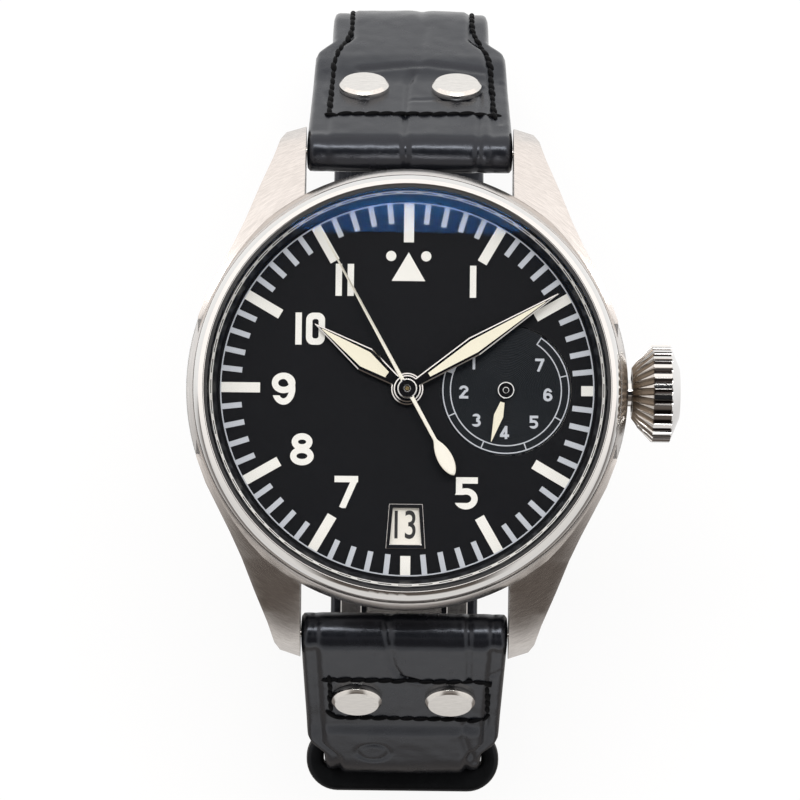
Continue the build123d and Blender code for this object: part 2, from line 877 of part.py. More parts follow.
def balance_wheel():
    x, y = balance_place
    low = train_low + balance_height / 2
    face = Circle(balance_radius) - Circle(balance_radius - balance_rim)
    face = face + Rectangle(balance_radius * 2 - balance_rim, balance_rim) + Circle(wheel_hub_radius)
    body = Pos(x, y, 0) * slab(face, low, low + balance_height)
    return body + disc(staff_radius, pivot_low, pivot_top, x, y)


def hairspring():
    x, y = balance_place
    low = train_low + balance_height * 1.5 + running_gap
    return spiral(hairspring_radius, hairspring_pitch, hairspring_turns, hairspring_width,
                  low, low + hairspring_height, x, y)


def sector(radius, start, sweep):
    """A pie slice of a disc from a start angle, counterclockwise."""
    reach = radius * 2
    points = [(0, 0)] + [on_circle(reach, start + sweep * i / 4) for i in range(5)]
    return Circle(radius) & Polygon(*points, align=None)


def bridge(start, sweep, holes):
    radius = movement_radius - holder_gap
    face = sector(radius, start, sweep) - Circle(bearing_radius + wheel_rim)
    body = slab(face, bridge_z, train_z)
    for x, y in holes:
        body = body - disc(jewel_radius, bridge_z - cut_over, train_z - bridge_thickness / 2, x, y)
    return body


def barrel_bridge():
    return bridge(barrel_bridge_start, barrel_bridge_sweep, (barrel_place,))


def train_bridge():
    return bridge(train_bridge_start, train_bridge_sweep, (third_place,))


def balance_cock():
    return bridge(balance_cock_start, balance_cock_sweep, (balance_place,))


def bridge_screws():
    solids = []
    for angle in bridge_screw_angles:
        x, y = on_circle(movement_radius - rim_wall / 2, angle)
        solids.append(disc(screw_radius, bridge_z - screw_head / 2, bridge_z, x, y))
    return group(solids)


def rotor():
    inside = rotor_radius - rotor_rim_width
    web = sector(inside, rotor_start_angle, rotor_sweep) + Circle(rotor_hub_radius)
    rim = sector(rotor_radius, rotor_start_angle, rotor_sweep) - Circle(inside)
    top = rotor_z + rotor_thickness
    body = slab(web, top - rotor_web, top) + slab(rim, rotor_z, top)
    return body - disc(bearing_radius + running_gap, rotor_z - cut_over, top + cut_over)


def rotor_bearing():
    top = rotor_z + rotor_thickness
    body = disc(bearing_radius, top - rotor_web, train_z - bridge_thickness / 2)
    flange = disc(bearing_radius + wheel_rim - running_gap, bridge_z, train_z)
    return body + flange - disc(bearing_bore_radius + running_gap, rotor_z, bridge_z)


def rotor_screw():
    top = rotor_z + rotor_thickness - rotor_web
    head = disc(bearing_radius + wheel_rim / 2, top - screw_head - running_gap, top - running_gap)
    head = head - disc(bearing_radius / 2, top - screw_head * 2, top - screw_head)
    return head + disc(bearing_bore_radius, top - running_gap, bridge_z)


# Motion work, date and reserve

def cannon_pinion():
    outer = pitch_radius(minute_wheel_module, cannon_leaves) - tooth_trim
    leaves = gear_face(cannon_leaves, outer, tooth_depth)
    low = motion_z + running_gap
    body = slab(leaves, low, low + motion_height / 3)
    top = dial_top + minute_lift + hand_thickness
    return body + disc(cannon_radius, low, top) - disc(cannon_bore, low - cut_over, top + cut_over)


def minute_wheel():
    x, y = minute_wheel_place
    outer = pitch_radius(minute_wheel_module, minute_teeth) - tooth_trim
    low = motion_z + running_gap
    leaves = pinion(minute_wheel_module, minute_leaves, low, dial_z - running_gap * 2, x, y)
    rim = slab(gear_face(minute_teeth, outer, tooth_depth), low, low + wheel_thickness)
    body = Pos(x, y, 0) * rim + leaves
    return body - disc(minute_post_radius + pivot_gap, low - cut_over, dial_z, x, y)


def hour_wheel():
    outer = pitch_radius(minute_wheel_module, hour_teeth) - tooth_trim
    low = motion_z + running_gap * 2 + motion_height / 2
    body = slab(gear_face(hour_teeth, outer, tooth_depth), low, low + wheel_thickness)
    top = dial_top + hour_lift + hand_thickness
    return body + disc(hour_pipe_radius, low, top) - disc(hour_pipe_bore, low - cut_over, top + cut_over)


def date_ring():
    low = dial_z - date_thickness - 2 * running_gap
    teeth = gear_face(date_teeth, date_inner_radius, date_tooth_depth)
    return slab(Circle(date_outer_radius) - teeth, low, low + date_thickness)


def reserve_arbor():
    low = plate_z + plate_thickness / 2 + running_gap
    arbor = disc(reserve_arbor_radius, low, dial_top + hour_lift - 2 * running_gap, reserve_x)
    wheel_low = motion_z + running_gap
    return arbor + disc(reserve_wheel_radius, wheel_low, wheel_low + wheel_thickness, reserve_x)


# Dial

def window_face(grow):
    top = window_top_y + grow
    bottom = window_top_y - window_height - grow
    wide_top = window_top_width / 2 + grow
    wide_bottom = window_bottom_width / 2 + grow
    corners = ((-wide_top, top), (wide_top, top), (wide_bottom, bottom), (-wide_bottom, bottom))
    return Polygon(*corners, align=None)


def dial():
    face = Circle(dial_radius) - Circle(dial_hole_radius) - Pos(reserve_x, 0) * Circle(subdial_radius)
    face = face - window_face(window_frame_width / 2)
    body = slab(face, dial_z, dial_top)
    for angle in dial_foot_angles:
        x, y = on_circle(dial_foot_place, angle)
        body = body + disc(dial_foot_radius, motion_z, dial_z, x, y)
    return body


def subdial_disc():
    radius = subdial_radius - running_gap
    top = dial_top - subdial_drop
    face = Circle(radius) - Circle(reserve_arbor_radius + running_gap)
    body = Pos(reserve_x, 0, 0) * slab(face, dial_z, top)
    for i in range(subdial_plain_count, int(ring_inner_radius / subdial_groove_pitch)):
        r = i * subdial_groove_pitch
        body = body - ring(r + subdial_groove_width, r, top - subdial_groove_depth, top + cut_over, reserve_x)
    return body


def date_window_frame():
    grow = window_frame_width / 2
    low = slab(window_face(grow) - window_face(0), dial_z, dial_top)
    lip = slab(window_face(window_frame_width) - window_face(0), dial_top, dial_top + window_frame_rise)
    return low + lip


def dial_bar(length, width, angle, thickness):
    """A bar whose outer end touches the minute track."""
    bar = Pos(0, track_radius - length / 2) * Rectangle(width, length)
    return Rot(0, 0, -angle) * slab(bar, dial_top, dial_top + thickness)


def minute_track():
    solids = [ring(track_radius + track_line, track_radius, dial_top, dial_top + print_thickness)]
    for angle in range(0, 360, minute_step_angle):
        if angle % hour_step_angle:
            solids.append(dial_bar(minute_tick_length, minute_tick_width, angle, print_thickness))
    return group(solids)


def hour_markers():
    solids = []
    for hour in range(12):
        length = {3: three_bar_length, 6: six_bar_length}.get(hour, hour_bar_length)
        solids.append(dial_bar(length, hour_bar_width, hour * hour_step_angle, lume_thickness))
    half = triangle_width / 2
    triangle = Polygon(
        (-half, triangle_base_radius), (half, triangle_base_radius), (0, triangle_apex_radius), align=None)
    solids.append(slab(triangle, dial_top, dial_top + lume_thickness))
    for x in (-dot_x, dot_x):
        solids.append(disc(dot_radius, dial_top, dial_top + lume_thickness, x, dot_y))
    return group(solids)


def bar_between(x0, y0, x1, y1, stroke):
    length = hypot(x1 - x0, y1 - y0)
    angle = degrees(atan2(y1 - y0, x1 - x0))
    return Pos((x0 + x1) / 2, (y0 + y1) / 2) * Rot(0, 0, angle) * Rectangle(length, stroke)


def loop_face(width, height, stroke):
    return Ellipse(width / 2, height / 2) - Ellipse(width / 2 - stroke, height / 2 - stroke)


def box_face(x0, y0, x1, y1):
    return Pos((x0 + x1) / 2, (y0 + y1) / 2) * Rectangle(x1 - x0, y1 - y0)


# Bowls of the digits: heights as shares of the whole height, centres as shares of its half
top_bowl_share, top_centre_share, top_width_share = 0.54, 0.46, 0.88
low_bowl_share, low_centre_share = 0.58, 0.42
six_bowl_share, six_centre_share = 0.64, 0.36
five_bowl_share, five_centre_share, five_side_share, five_arm_share = 0.66, 0.34, 0.85, 0.1
three_open_share = 0.6
two_bowl_share, two_centre_share, two_diagonal_share = 0.6, 0.4, 0.2


def digit(name, width, height, stroke):
    """A plain upright digit of even stroke, centred on zero."""
    w, h, t = width / 2, height / 2, stroke
    if name == "1":
        return Rectangle(t, height)
    if name == "7":
        leg = bar_between(w - t / 2, h - t / 2, -w / 3, -h, t)
        return (box_face(-w, h - t, w, h) + leg) & box_face(-w, -h, w, h)
    if name == "4":
        post = box_face(w / 3 - t / 2, -h, w / 3 + t / 2, h)
        cross = box_face(-w, -h / 2 - t / 2, w, -h / 2 + t / 2)
        return post + cross + bar_between(w / 3, h - t / 3, -w + t / 3, -h / 2, t)
    low = Pos(0, -h * low_centre_share) * loop_face(width, height * low_bowl_share, t)
    top = Pos(0, h * top_centre_share) * loop_face(width * top_width_share, height * top_bowl_share, t)
    if name == "8":
        return top + low
    if name == "3":
        open_y = h * three_open_share
        keep = box_face(0, -h, w, h) + box_face(-w, open_y, w, h) + box_face(-w, -h, w, -open_y)
        return (top + low) & keep
    if name in ("6", "9"):
        bowl = Pos(0, -h * six_centre_share) * loop_face(width, height * six_bowl_share, t)
        keep = box_face(-w, -h, 0, h) + box_face(-w, h * low_centre_share, w, h)
        hook = loop_face(width, height, t) & keep
        return bowl + hook if name == "6" else Rot(0, 0, 180) * (bowl + hook)
    if name == "5":
        side, arm_y = -w * five_side_share, -h * five_arm_share
        bowl = Pos(0, -h * five_centre_share) * loop_face(width, height * five_bowl_share, t)
        keep = box_face(0, -h, w, h) + box_face(-w, -h, w, -h * three_open_share)
        bowl = bowl & (keep + box_face(-w, arm_y, w, h))
        return bowl + box_face(side, arm_y, side + t, h) + box_face(side, h - t, w, h)
    if name == "2":
        centre_y = h * two_centre_share
        arch = Pos(0, centre_y) * loop_face(width, height * two_bowl_share, t)
        arch = arch & (box_face(-w, centre_y, w, h) + box_face(0, 0, w, h))
        diagonal = bar_between(w - t, h * two_diagonal_share, -w + t / 2, -h + t / 2, t)
        return arch + diagonal + box_face(-w, -h, w, -h + t)
    return RectangleRounded(width, height, zero_corner) - RectangleRounded(
        width - 2 * t, height - 2 * t, zero_corner / 3)


def printed(face, x, y, low):
    return Pos(x, y, 0) * slab(face, low, low + print_thickness)


def dial_numerals():
    size = (numeral_width, numeral_height, numeral_stroke)
    solids = []
    places = {name: (x * dial_step, y * dial_step) for name, (x, y) in numeral_steps.items()}
    for name, place in places.items():
        if len(name) == 1:
            solids.append(printed(digit(name, *size), *place, dial_top))
    x, y = places["10"]
    solids.append(printed(digit("1", *size), x - (zero_width + pair_gap) / 2, y, dial_top))
    zero = digit("0", zero_width, numeral_height, numeral_stroke)
    solids.append(printed(zero, x + (numeral_stroke + pair_gap) / 2, y, dial_top))
    x, y = places["11"]
    for side in (-1, 1):
        solids.append(printed(digit("1", *size), x + side * (numeral_stroke + eleven_gap) / 2, y, dial_top))
    return group(solids)


def arc_band(outer, inner, start, end, low, high):
    """A band of a ring between two clockwise angles from twelve o'clock."""
    reach = outer * 2
    count = 12
    points = [(0, 0)] + [polar(reach, start + (end - start) * i / count) for i in range(count + 1)]
    face = (Circle(outer) - Circle(inner)) & Polygon(*points, align=None)
    return Pos(reserve_x, 0, 0) * slab(face, low, high)


def subdial_print():
    low = dial_top - subdial_drop
    high = low + print_thickness
    sweep = (ring_start_angle, ring_end_angle, low, high)
    scale = arc_band(ring_outer_radius, ring_outer_radius - ring_line, *sweep)
    scale = scale + arc_band(ring_inner_radius + ring_line, ring_inner_radius, *sweep)
    step = (ring_end_angle - ring_start_angle) / ring_cells
    for i in range(ring_cells + 1):
        middle = (ring_outer_radius + ring_inner_radius) / 2
        length = ring_outer_radius - ring_inner_radius
        tick = Rot(0, 0, -(ring_start_angle + i * step)) * slab(
            Pos(0, middle) * Rectangle(ring_line, length), low, high)
        scale = scale + Pos(reserve_x, 0, 0) * tick
    wedge_start = ring_end_angle + ring_line
    wedge = Polygon(
        polar(ring_outer_radius, wedge_start), polar(ring_inner_radius, wedge_start),
        polar(ring_inner_radius, ring_end_angle + ring_wedge_angle), align=None)
    scale = scale + Pos(reserve_x, 0, 0) * slab(wedge, low, high)
    solids = [scale]
    for i in range(small_digit_count):
        x, y = polar(small_radius, small_start_angle - i * small_step_angle)
        face = digit(str(i + 1), small_width, small_height, small_stroke)
        solids.append(printed(face, reserve_x + x, y, low))
    return group(solids)


# Hands

def blade_face(points):
    """A hand drawn towards twelve o'clock from (reach, half width) pairs, mirrored about its length."""
    right = [(half, reach) for reach, half in points]
    left = [(-half, reach) for reach, half in reversed(points)]
    return Polygon(*(right + left), align=None)


def set_hand(face, angle, lift):
    low = dial_top + lift
    return Rot(0, 0, -angle) * slab(face, low, low + hand_thickness)


hour_lume_face = blade_face(
    [(hour_lume_start, hour_lume_root), (hour_shoulder, hour_lume_half), (hour_lume_end, tip_half)])
minute_lume_face = blade_face(
    [(minute_lume_start, minute_lume_root), (minute_shoulder, minute_lume_half), (minute_lume_end, tip_half)])


def hour_hand():
    face = blade_face([(0, hour_root_half), (hour_boss, hour_root_half), (hour_shoulder, hour_half_width),
                       (hour_reach, tip_half)])
    face = face + Circle(hour_boss) - hour_lume_face - Circle(hour_pipe_radius)
    return set_hand(face, hour_angle, hour_lift)


def hour_hand_lume():
    return set_hand(hour_lume_face, hour_angle, hour_lift)


def minute_hand():
    face = blade_face([(0, minute_root_half), (minute_boss, minute_root_half),
                       (minute_shoulder, minute_half_width), (minute_reach, tip_half)])
    face = face + Circle(minute_boss) - minute_lume_face - Circle(cannon_radius)
    return set_hand(face, minute_angle, minute_lift)


def minute_hand_lume():
    return set_hand(minute_lume_face, minute_angle, minute_lift)


def seconds_hand():
    needle = blade_face([(0, seconds_root_half), (seconds_reach, seconds_tip_half)])
    leaf = [(tail_start + run * (tail_reach - tail_start), width * tail_half_width)
            for run, width in tail_leaf_shares]
    tail = blade_face([(0, tail_stem_half), (tail_start, tail_stem_half), *leaf, (tail_reach, seconds_tip_half)])
    face = needle + Rot(0, 0, 180) * tail + Circle(seconds_hub) - Circle(arbor_radius)
    return set_hand(face, seconds_angle, seconds_lift)


def reserve_hand():
    face = blade_face([(0, reserve_root_half), (reserve_boss, reserve_root_half),
                       (reserve_shoulder, reserve_half_width), (reserve_reach, tip_half)])
    face = face + Circle(reserve_boss) - Circle(reserve_arbor_radius)
    low = dial_top + reserve_lift
    blade = slab(face, low, low + reserve_hand_thickness)
    return Pos(reserve_x, 0, 0) * Rot(0, 0, -reserve_angle) * blade


# Strap and clasp, drawn on the twelve o'clock side and mirrored for the other

slope_y = cos(radians(strap_slope))
slope_z = -sin(radians(strap_slope))
normal_y = -slope_z
normal_z = slope_y
outer_start = (bar_y + strap_tube_radius * normal_y, bar_z + strap_tube_radius * normal_z)
inner_start = (bar_y - strap_tube_radius * normal_y, bar_z - strap_tube_radius * normal_z)


def bend_places(side_y):
    """Heights at which the outer and the inner slope meet the strap's upright side."""
    outer_z = outer_start[1] + (side_y - outer_start[0]) / slope_y * slope_z
    return outer_z, outer_z - strap_neck_thickness * tan(radians(90 - strap_slope) / 2)


def strap_band(side_y, end_y, end_thickness):
    """Side outline of one strap half, from the spring bar down and round to its end."""
    bend_z, inner_bend_z = bend_places(side_y)
    inner_side_y = side_y - strap_neck_thickness
    corner_y = side_y - strap_corner_radius
    end_top = strap_floor_z + end_thickness
    turn_top = strap_floor_z + strap_neck_thickness
    return outline([
        (outer_start[0], outer_start[1], 0),
        (side_y, bend_z, strap_bend_radius),
        (side_y, strap_floor_z, strap_corner_radius),
        (end_y, strap_floor_z, 0),
        (end_y, end_top, 0),
        (corner_y, turn_top, 0),
        (inner_side_y, turn_top, strap_corner_radius - strap_neck_thickness),
        (inner_side_y, inner_bend_z, strap_bend_radius - strap_neck_thickness),
        (inner_start[0], inner_start[1], 0),
    ])


def strap_plan(tail_width):
    """Front outline in X and Z: straight sides, rounded shoulders, then the narrow neck."""
    shoulder = strap_shoulder_width / 2
    neck = strap_neck_width / 2
    low = strap_shoulder_z - strap_shoulder_drop
    floor = strap_floor_z - cut_over
    top = bar_z + strap_tube_radius + cut_over
    step = shoulder - neck
    return outline([
        (-strap_half, top, 0), (strap_half, top, 0), (strap_half, bar_z, 0),
        (shoulder, strap_shoulder_z, step / 2), (shoulder - step / 2, low + step / 2, step / 2),
        (neck, low, step / 2), (tail_width / 2, floor, 0), (-tail_width / 2, floor, 0),
        (-neck, low, step / 2), (-shoulder + step / 2, low + step / 2, step / 2),
        (-shoulder, strap_shoulder_z, step / 2), (-strap_half, bar_z, 0),
    ])


def strap_half_body(side_y, end_y, end_thickness, tail_width, rivet_place):
    band = side_slab(strap_band(side_y, end_y, end_thickness), strap_half)
    tube = rod(strap_tube_radius, (-strap_half, bar_y, bar_z), strap_width)
    body = band + tube
    plan = extrude(Plane.XZ * strap_plan(tail_width), side_y * 2, dir=(0, 1, 0))
    plan = Pos(0, -side_y, 0) * plan
    body = body & plan
    bore_start = (-strap_half - cut_over, bar_y, bar_z)
    body = body - rod(bar_radius + strap_bore_gap, bore_start, strap_width + 2 * cut_over)
    for x in (-rivet_spacing / 2, rivet_spacing / 2):
        body = body - rivet_frame(x, rivet_place) * Cylinder(rivet_shank_radius, strap_tube_radius * 6)
    return body


def rivet_frame(x, rivet_place):
    """A place on the strap's outer face, with its own Z along the face's normal."""
    y = outer_start[0] + slope_y * rivet_place
    z = outer_start[1] + slope_z * rivet_place
    return Pos(x, y, z) * Rot(-(90 - degrees(atan2(normal_z, normal_y))), 0, 0)


def depth_at_rivets(side_y, rivet_place):
    """Thickness of the strap at its rivets, along the outer face's normal."""
    run = side_y - strap_neck_thickness - inner_start[0]
    fall = bend_places(side_y)[1] - inner_start[1]
    away_y = inner_start[0] - outer_start[0] - slope_y * rivet_place
    away_z = inner_start[1] - outer_start[1] - slope_z * rivet_place
    return (away_z * run - away_y * fall) / (normal_y * fall - normal_z * run)


def strap_rivets(side_y, rivet_place):
    """Two rivets: a low chamfered head, and a shank that ends level with the strap's inner face."""
    solids = []
    depth = depth_at_rivets(side_y, rivet_place)
    for x in (-rivet_spacing / 2, rivet_spacing / 2):
        head = extrude(Circle(rivet_radius), rivet_head, dir=(0, 0, 1))
        head = chamfer(head.edges().group_by(Axis.Z)[-1], rivet_chamfer)
        shank = Pos(0, 0, -depth) * extrude(Circle(rivet_shank_radius - tooth_trim / 3), depth, dir=(0, 0, 1))
        solids.append(rivet_frame(x, rivet_place) * (head + shank))
    return solids


def strap_upper():
    body = strap_half_body(
        strap_upper_side_y, end_pin_y, strap_neck_thickness, strap_neck_width, rivet_slope_place_upper)
    tube = rod(end_tube_radius, (-strap_neck_width / 2, end_pin_y, end_pin_z), strap_neck_width)
    body = body + tube
    over = hook_radius + hook_gap
    notch = Pos(0, end_pin_y - over, end_pin_z) * Box(end_notch_width, over * 4, end_tube_radius * 4)
    body = body - notch
    return body - rod(pin_radius, (-strap_neck_width, end_pin_y, end_pin_z), 2 * strap_neck_width)


def strap_lower():
    half_body = strap_half_body(
        strap_side_y, -strap_tail_y, strap_tail_thickness, strap_tail_width, rivet_slope_place_lower)
    body = mirror(half_body, Plane.XZ)
    half = strap_tail_width / 2
    tip = Pos(0, strap_tail_y - half) * (Rectangle(strap_width * 2, half * 2) - Circle(half))
    tip = tip & box_face(-strap_width, strap_tail_y - half, strap_width, strap_tail_y + cut_over)
    low, high = strap_floor_z - cut_over, strap_floor_z + strap_neck_thickness * 2
    body = body - slab(tip, low, high)
    for i in range(hole_count):
        body = body - disc(hole_radius, low, high, 0, hole_first_y + i * hole_pitch)
    return body


def spring_bar(side):
    y = side * bar_y
    body_half = strap_half - bar_shoulder_length
    tip_end = lug_gap / 2 + bar_tip_length
    body = rod(bar_radius, (-body_half, y, bar_z), 2 * body_half)
    body = body + rod(bar_shoulder_radius, (-strap_half, y, bar_z), strap_width)
    return body + rod(bar_tip_radius, (-tip_end, y, bar_z), 2 * tip_end)


def keeper():
    inner_half = strap_neck_width / 2 + keeper_side_gap
    front = strap_side_y + keeper_front_gap
    back = strap_side_y - strap_neck_thickness - keeper_back_gap
    outer_half = inner_half + keeper_wall
    width = front - back + 2 * keeper_wall
    middle = (front + back) / 2
    outside = RectangleRounded(2 * outer_half, width, keeper_corner)
    inside = RectangleRounded(2 * inner_half, width - 2 * keeper_wall, keeper_corner - keeper_wall)
    loop = Pos(0, -middle) * (outside - inside)
    return slab(loop, keeper_z, keeper_z + keeper_height)


def base_blade():
    """The long inner blade: a slotted plate with a hook at the strap's end pin and knuckles at the fold."""
    low = blade_z - blade_thickness / 2
    half = blade_width / 2
    slot = half - rail_width
    plate = box_face(-half, hinge_y, half, cross_bar_y)
    opening = box_face(-slot, hinge_y - cut_over, slot, cross_bar_y - cross_bar_length)
    body = slab(plate - opening, low, low + blade_thickness)
    for side in (-1, 1):
        start = (side * (half - rail_width / 2) - rail_width / 2, hinge_y, blade_z)
        body = body + rod(knuckle_radius, start, rail_width)
    hook_top = end_pin_y - hook_radius
    tongue = outline([
        (cross_bar_y - cross_bar_length, low, 0), (cross_bar_y, low, 0), (hook_top, end_pin_z, 0),
        (hook_top + blade_thickness, end_pin_z, 0), (cross_bar_y + blade_thickness, low + blade_thickness, 0),
        (cross_bar_y - cross_bar_length, low + blade_thickness, 0),
    ])
    body = body + side_slab(tongue, tongue_width / 2)
    hook = rod(hook_radius, (-tongue_width / 2, end_pin_y, end_pin_z), tongue_width)
    open_low = Pos(0, end_pin_y, end_pin_z + hook_radius / 2)
    body = body + (hook & open_low * Box(tongue_width, hook_radius * 2, hook_radius * 1.6))
    body = body - rod(pin_radius + hook_gap, (-tongue_width, end_pin_y, end_pin_z), 2 * tongue_width)
    return body - rod(pin_radius, (-blade_width, hinge_y, blade_z), 2 * blade_width)


def fold_blade():
    """The short blade between the cover and the fold, nested in the base blade's slot."""
    lift = fold_half_thickness
    strip = Polygon(
        (hinge_y, blade_z - lift), (cover_pin_y, cover_pin_z - lift), (cover_pin_y, cover_pin_z + lift),
        (hinge_y, blade_z + lift), align=None)
    body = side_slab(strip, fold_width / 2)
    for y, z in ((hinge_y, blade_z), (cover_pin_y, cover_pin_z)):
        body = body + rod(knuckle_radius, (-fold_width / 2, y, z), fold_width)
    for y, z in ((hinge_y, blade_z), (cover_pin_y, cover_pin_z)):
        body = body - rod(pin_radius + pin_gap, (-fold_width, y, z), 2 * fold_width)
    return body


def clasp_cover():
    low = strap_floor_z - cover_thickness
    middle = (cover_start_y + cover_end_y) / 2
    plate = Pos(0, middle) * RectangleRounded(2 * cover_half_width, cover_end_y - cover_start_y, cover_corner)
    body = slab(plate, low, strap_floor_z)
    for side in (-1, 1):
        outer = side * cover_half_width
        inner = side * (cover_half_width - cover_wall)
        wall = box_face(min(outer, inner), cover_wall_start_y, max(outer, inner), cover_wall_end_y)
        body = body + slab(wall, strap_floor_z, cover_wall_top_z)
    body = body + rod(pin_radius, (-cover_half_width, cover_pin_y, cover_pin_z), 2 * cover_half_width)
    post_y = hole_first_y + hole_pitch
    return body + disc(post_radius, strap_floor_z, strap_floor_z + post_length, 0, post_y)


def fold_pin():
    return rod(pin_radius, (-blade_width / 2, hinge_y, blade_z), blade_width)


def strap_end_pin():
    return rod(pin_radius, (-strap_neck_width / 2, end_pin_y, end_pin_z), strap_neck_width)


nodes = {
    "case_middle": case_middle,
    "bezel": bezel,
    "crystal": crystal,
    "crystal_gasket": crystal_gasket,
    "dial_flange": dial_flange,
    "case_back": case_back,
    "case_back_gasket": case_back_gasket,
    "iron_shield": iron_shield,
    "crown": crown,
    "winding_stem": winding_stem,
    "crown_tube": crown_tube,
    "crown_gasket": crown_gasket,
    "movement_holder": movement_holder,
    "mainplate": mainplate,
    "barrel": barrel,
    "mainspring": mainspring,
    "second_wheel": second_wheel,
    "third_wheel": third_wheel,
    "seconds_wheel": seconds_wheel,
    "escape_wheel": escape_wheel,
    "pallet_fork": pallet_fork,
    "balance_wheel": balance_wheel,
    "hairspring": hairspring,
    "barrel_bridge": barrel_bridge,
    "train_bridge": train_bridge,
    "balance_cock": balance_cock,
    "bridge_screws": bridge_screws,
    "rotor": rotor,
    "rotor_bearing": rotor_bearing,
    "rotor_screw": rotor_screw,
    "cannon_pinion": cannon_pinion,
    "minute_wheel": minute_wheel,
    "hour_wheel": hour_wheel,
    "date_ring": date_ring,
    "reserve_arbor": reserve_arbor,
    "dial": dial,
    "subdial_disc": subdial_disc,
    "date_window_frame": date_window_frame,
    "minute_track": minute_track,
    "hour_markers": hour_markers,
    "dial_numerals": dial_numerals,
    "subdial_print": subdial_print,
    "hour_hand": hour_hand,
    "hour_hand_lume": hour_hand_lume,
    "minute_hand": minute_hand,
    "minute_hand_lume": minute_hand_lume,
    "seconds_hand": seconds_hand,
    "reserve_hand": reserve_hand,
    "spring_bar_upper": lambda: spring_bar(1),
    "spring_bar_lower": lambda: spring_bar(-1),
    "strap_upper": strap_upper,
    "strap_lower": strap_lower,
    "strap_rivets_upper": lambda: group(strap_rivets(strap_upper_side_y, rivet_slope_place_upper)),
    "strap_rivets_lower": lambda: group([
        mirror(r, Plane.XZ) for r in strap_rivets(strap_side_y, rivet_slope_place_lower)]),
    "keeper": keeper,
    "base_blade": base_blade,
    "fold_blade": fold_blade,
    "clasp_cover": clasp_cover,
    "strap_end_pin": strap_end_pin,
    "fold_pin": fold_pin,
}

os.makedirs("parts", exist_ok=True)
for name, make in nodes.items():
    export_step(make(), f"parts/{name}.step")
    print("written", name)
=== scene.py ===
from math import cos, hypot, pi, radians, sin, sqrt, tan

import bmesh
import bpy
import numpy as np
from mathutils import Matrix, Vector, noise
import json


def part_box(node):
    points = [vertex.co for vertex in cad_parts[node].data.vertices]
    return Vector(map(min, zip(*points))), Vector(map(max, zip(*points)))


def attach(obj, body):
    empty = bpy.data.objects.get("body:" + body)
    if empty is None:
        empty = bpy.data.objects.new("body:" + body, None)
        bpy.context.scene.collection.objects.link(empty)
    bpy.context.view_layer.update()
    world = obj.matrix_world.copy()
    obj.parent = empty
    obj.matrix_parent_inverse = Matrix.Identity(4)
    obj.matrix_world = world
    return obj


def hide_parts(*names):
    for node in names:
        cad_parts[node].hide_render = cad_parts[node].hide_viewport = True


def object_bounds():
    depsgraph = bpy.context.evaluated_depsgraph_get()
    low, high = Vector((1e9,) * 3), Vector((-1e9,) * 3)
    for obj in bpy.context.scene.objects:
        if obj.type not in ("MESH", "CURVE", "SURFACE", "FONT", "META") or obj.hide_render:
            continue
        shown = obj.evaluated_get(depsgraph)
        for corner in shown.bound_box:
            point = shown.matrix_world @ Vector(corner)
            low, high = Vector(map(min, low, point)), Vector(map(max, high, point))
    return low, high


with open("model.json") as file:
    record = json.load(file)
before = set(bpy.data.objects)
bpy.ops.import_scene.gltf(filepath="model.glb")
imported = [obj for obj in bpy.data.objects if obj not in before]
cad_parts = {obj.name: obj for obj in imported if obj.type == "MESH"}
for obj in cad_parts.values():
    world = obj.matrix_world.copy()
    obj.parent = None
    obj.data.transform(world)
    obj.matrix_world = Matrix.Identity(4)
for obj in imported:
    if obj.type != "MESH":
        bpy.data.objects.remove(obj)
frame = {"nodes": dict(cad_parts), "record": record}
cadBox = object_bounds()
nodes = frame["nodes"]
mm = 0.001  # every value below is in millimetres, and Blender works in metres
print("frame loaded:", len(nodes), "nodes")


# Shader maths: a wire is one output socket, and sums and products of wires add Math nodes

def operation(name, reflected=False):
    def act(wire, other):
        return wire.sheet.maths(name, *((other, wire) if reflected else (wire, other)))

    return act


class Wire:
    __add__, __radd__ = operation("ADD"), operation("ADD", True)
    __sub__, __rsub__ = operation("SUBTRACT"), operation("SUBTRACT", True)
    __mul__, __rmul__ = operation("MULTIPLY"), operation("MULTIPLY", True)
    __pow__, __rpow__ = operation("POWER"), operation("POWER", True)

    def __init__(self, sheet, socket):
        self.sheet = sheet
        self.socket = socket


def darker(tone, share):
    return tuple(part * share for part in tone) + (1,)


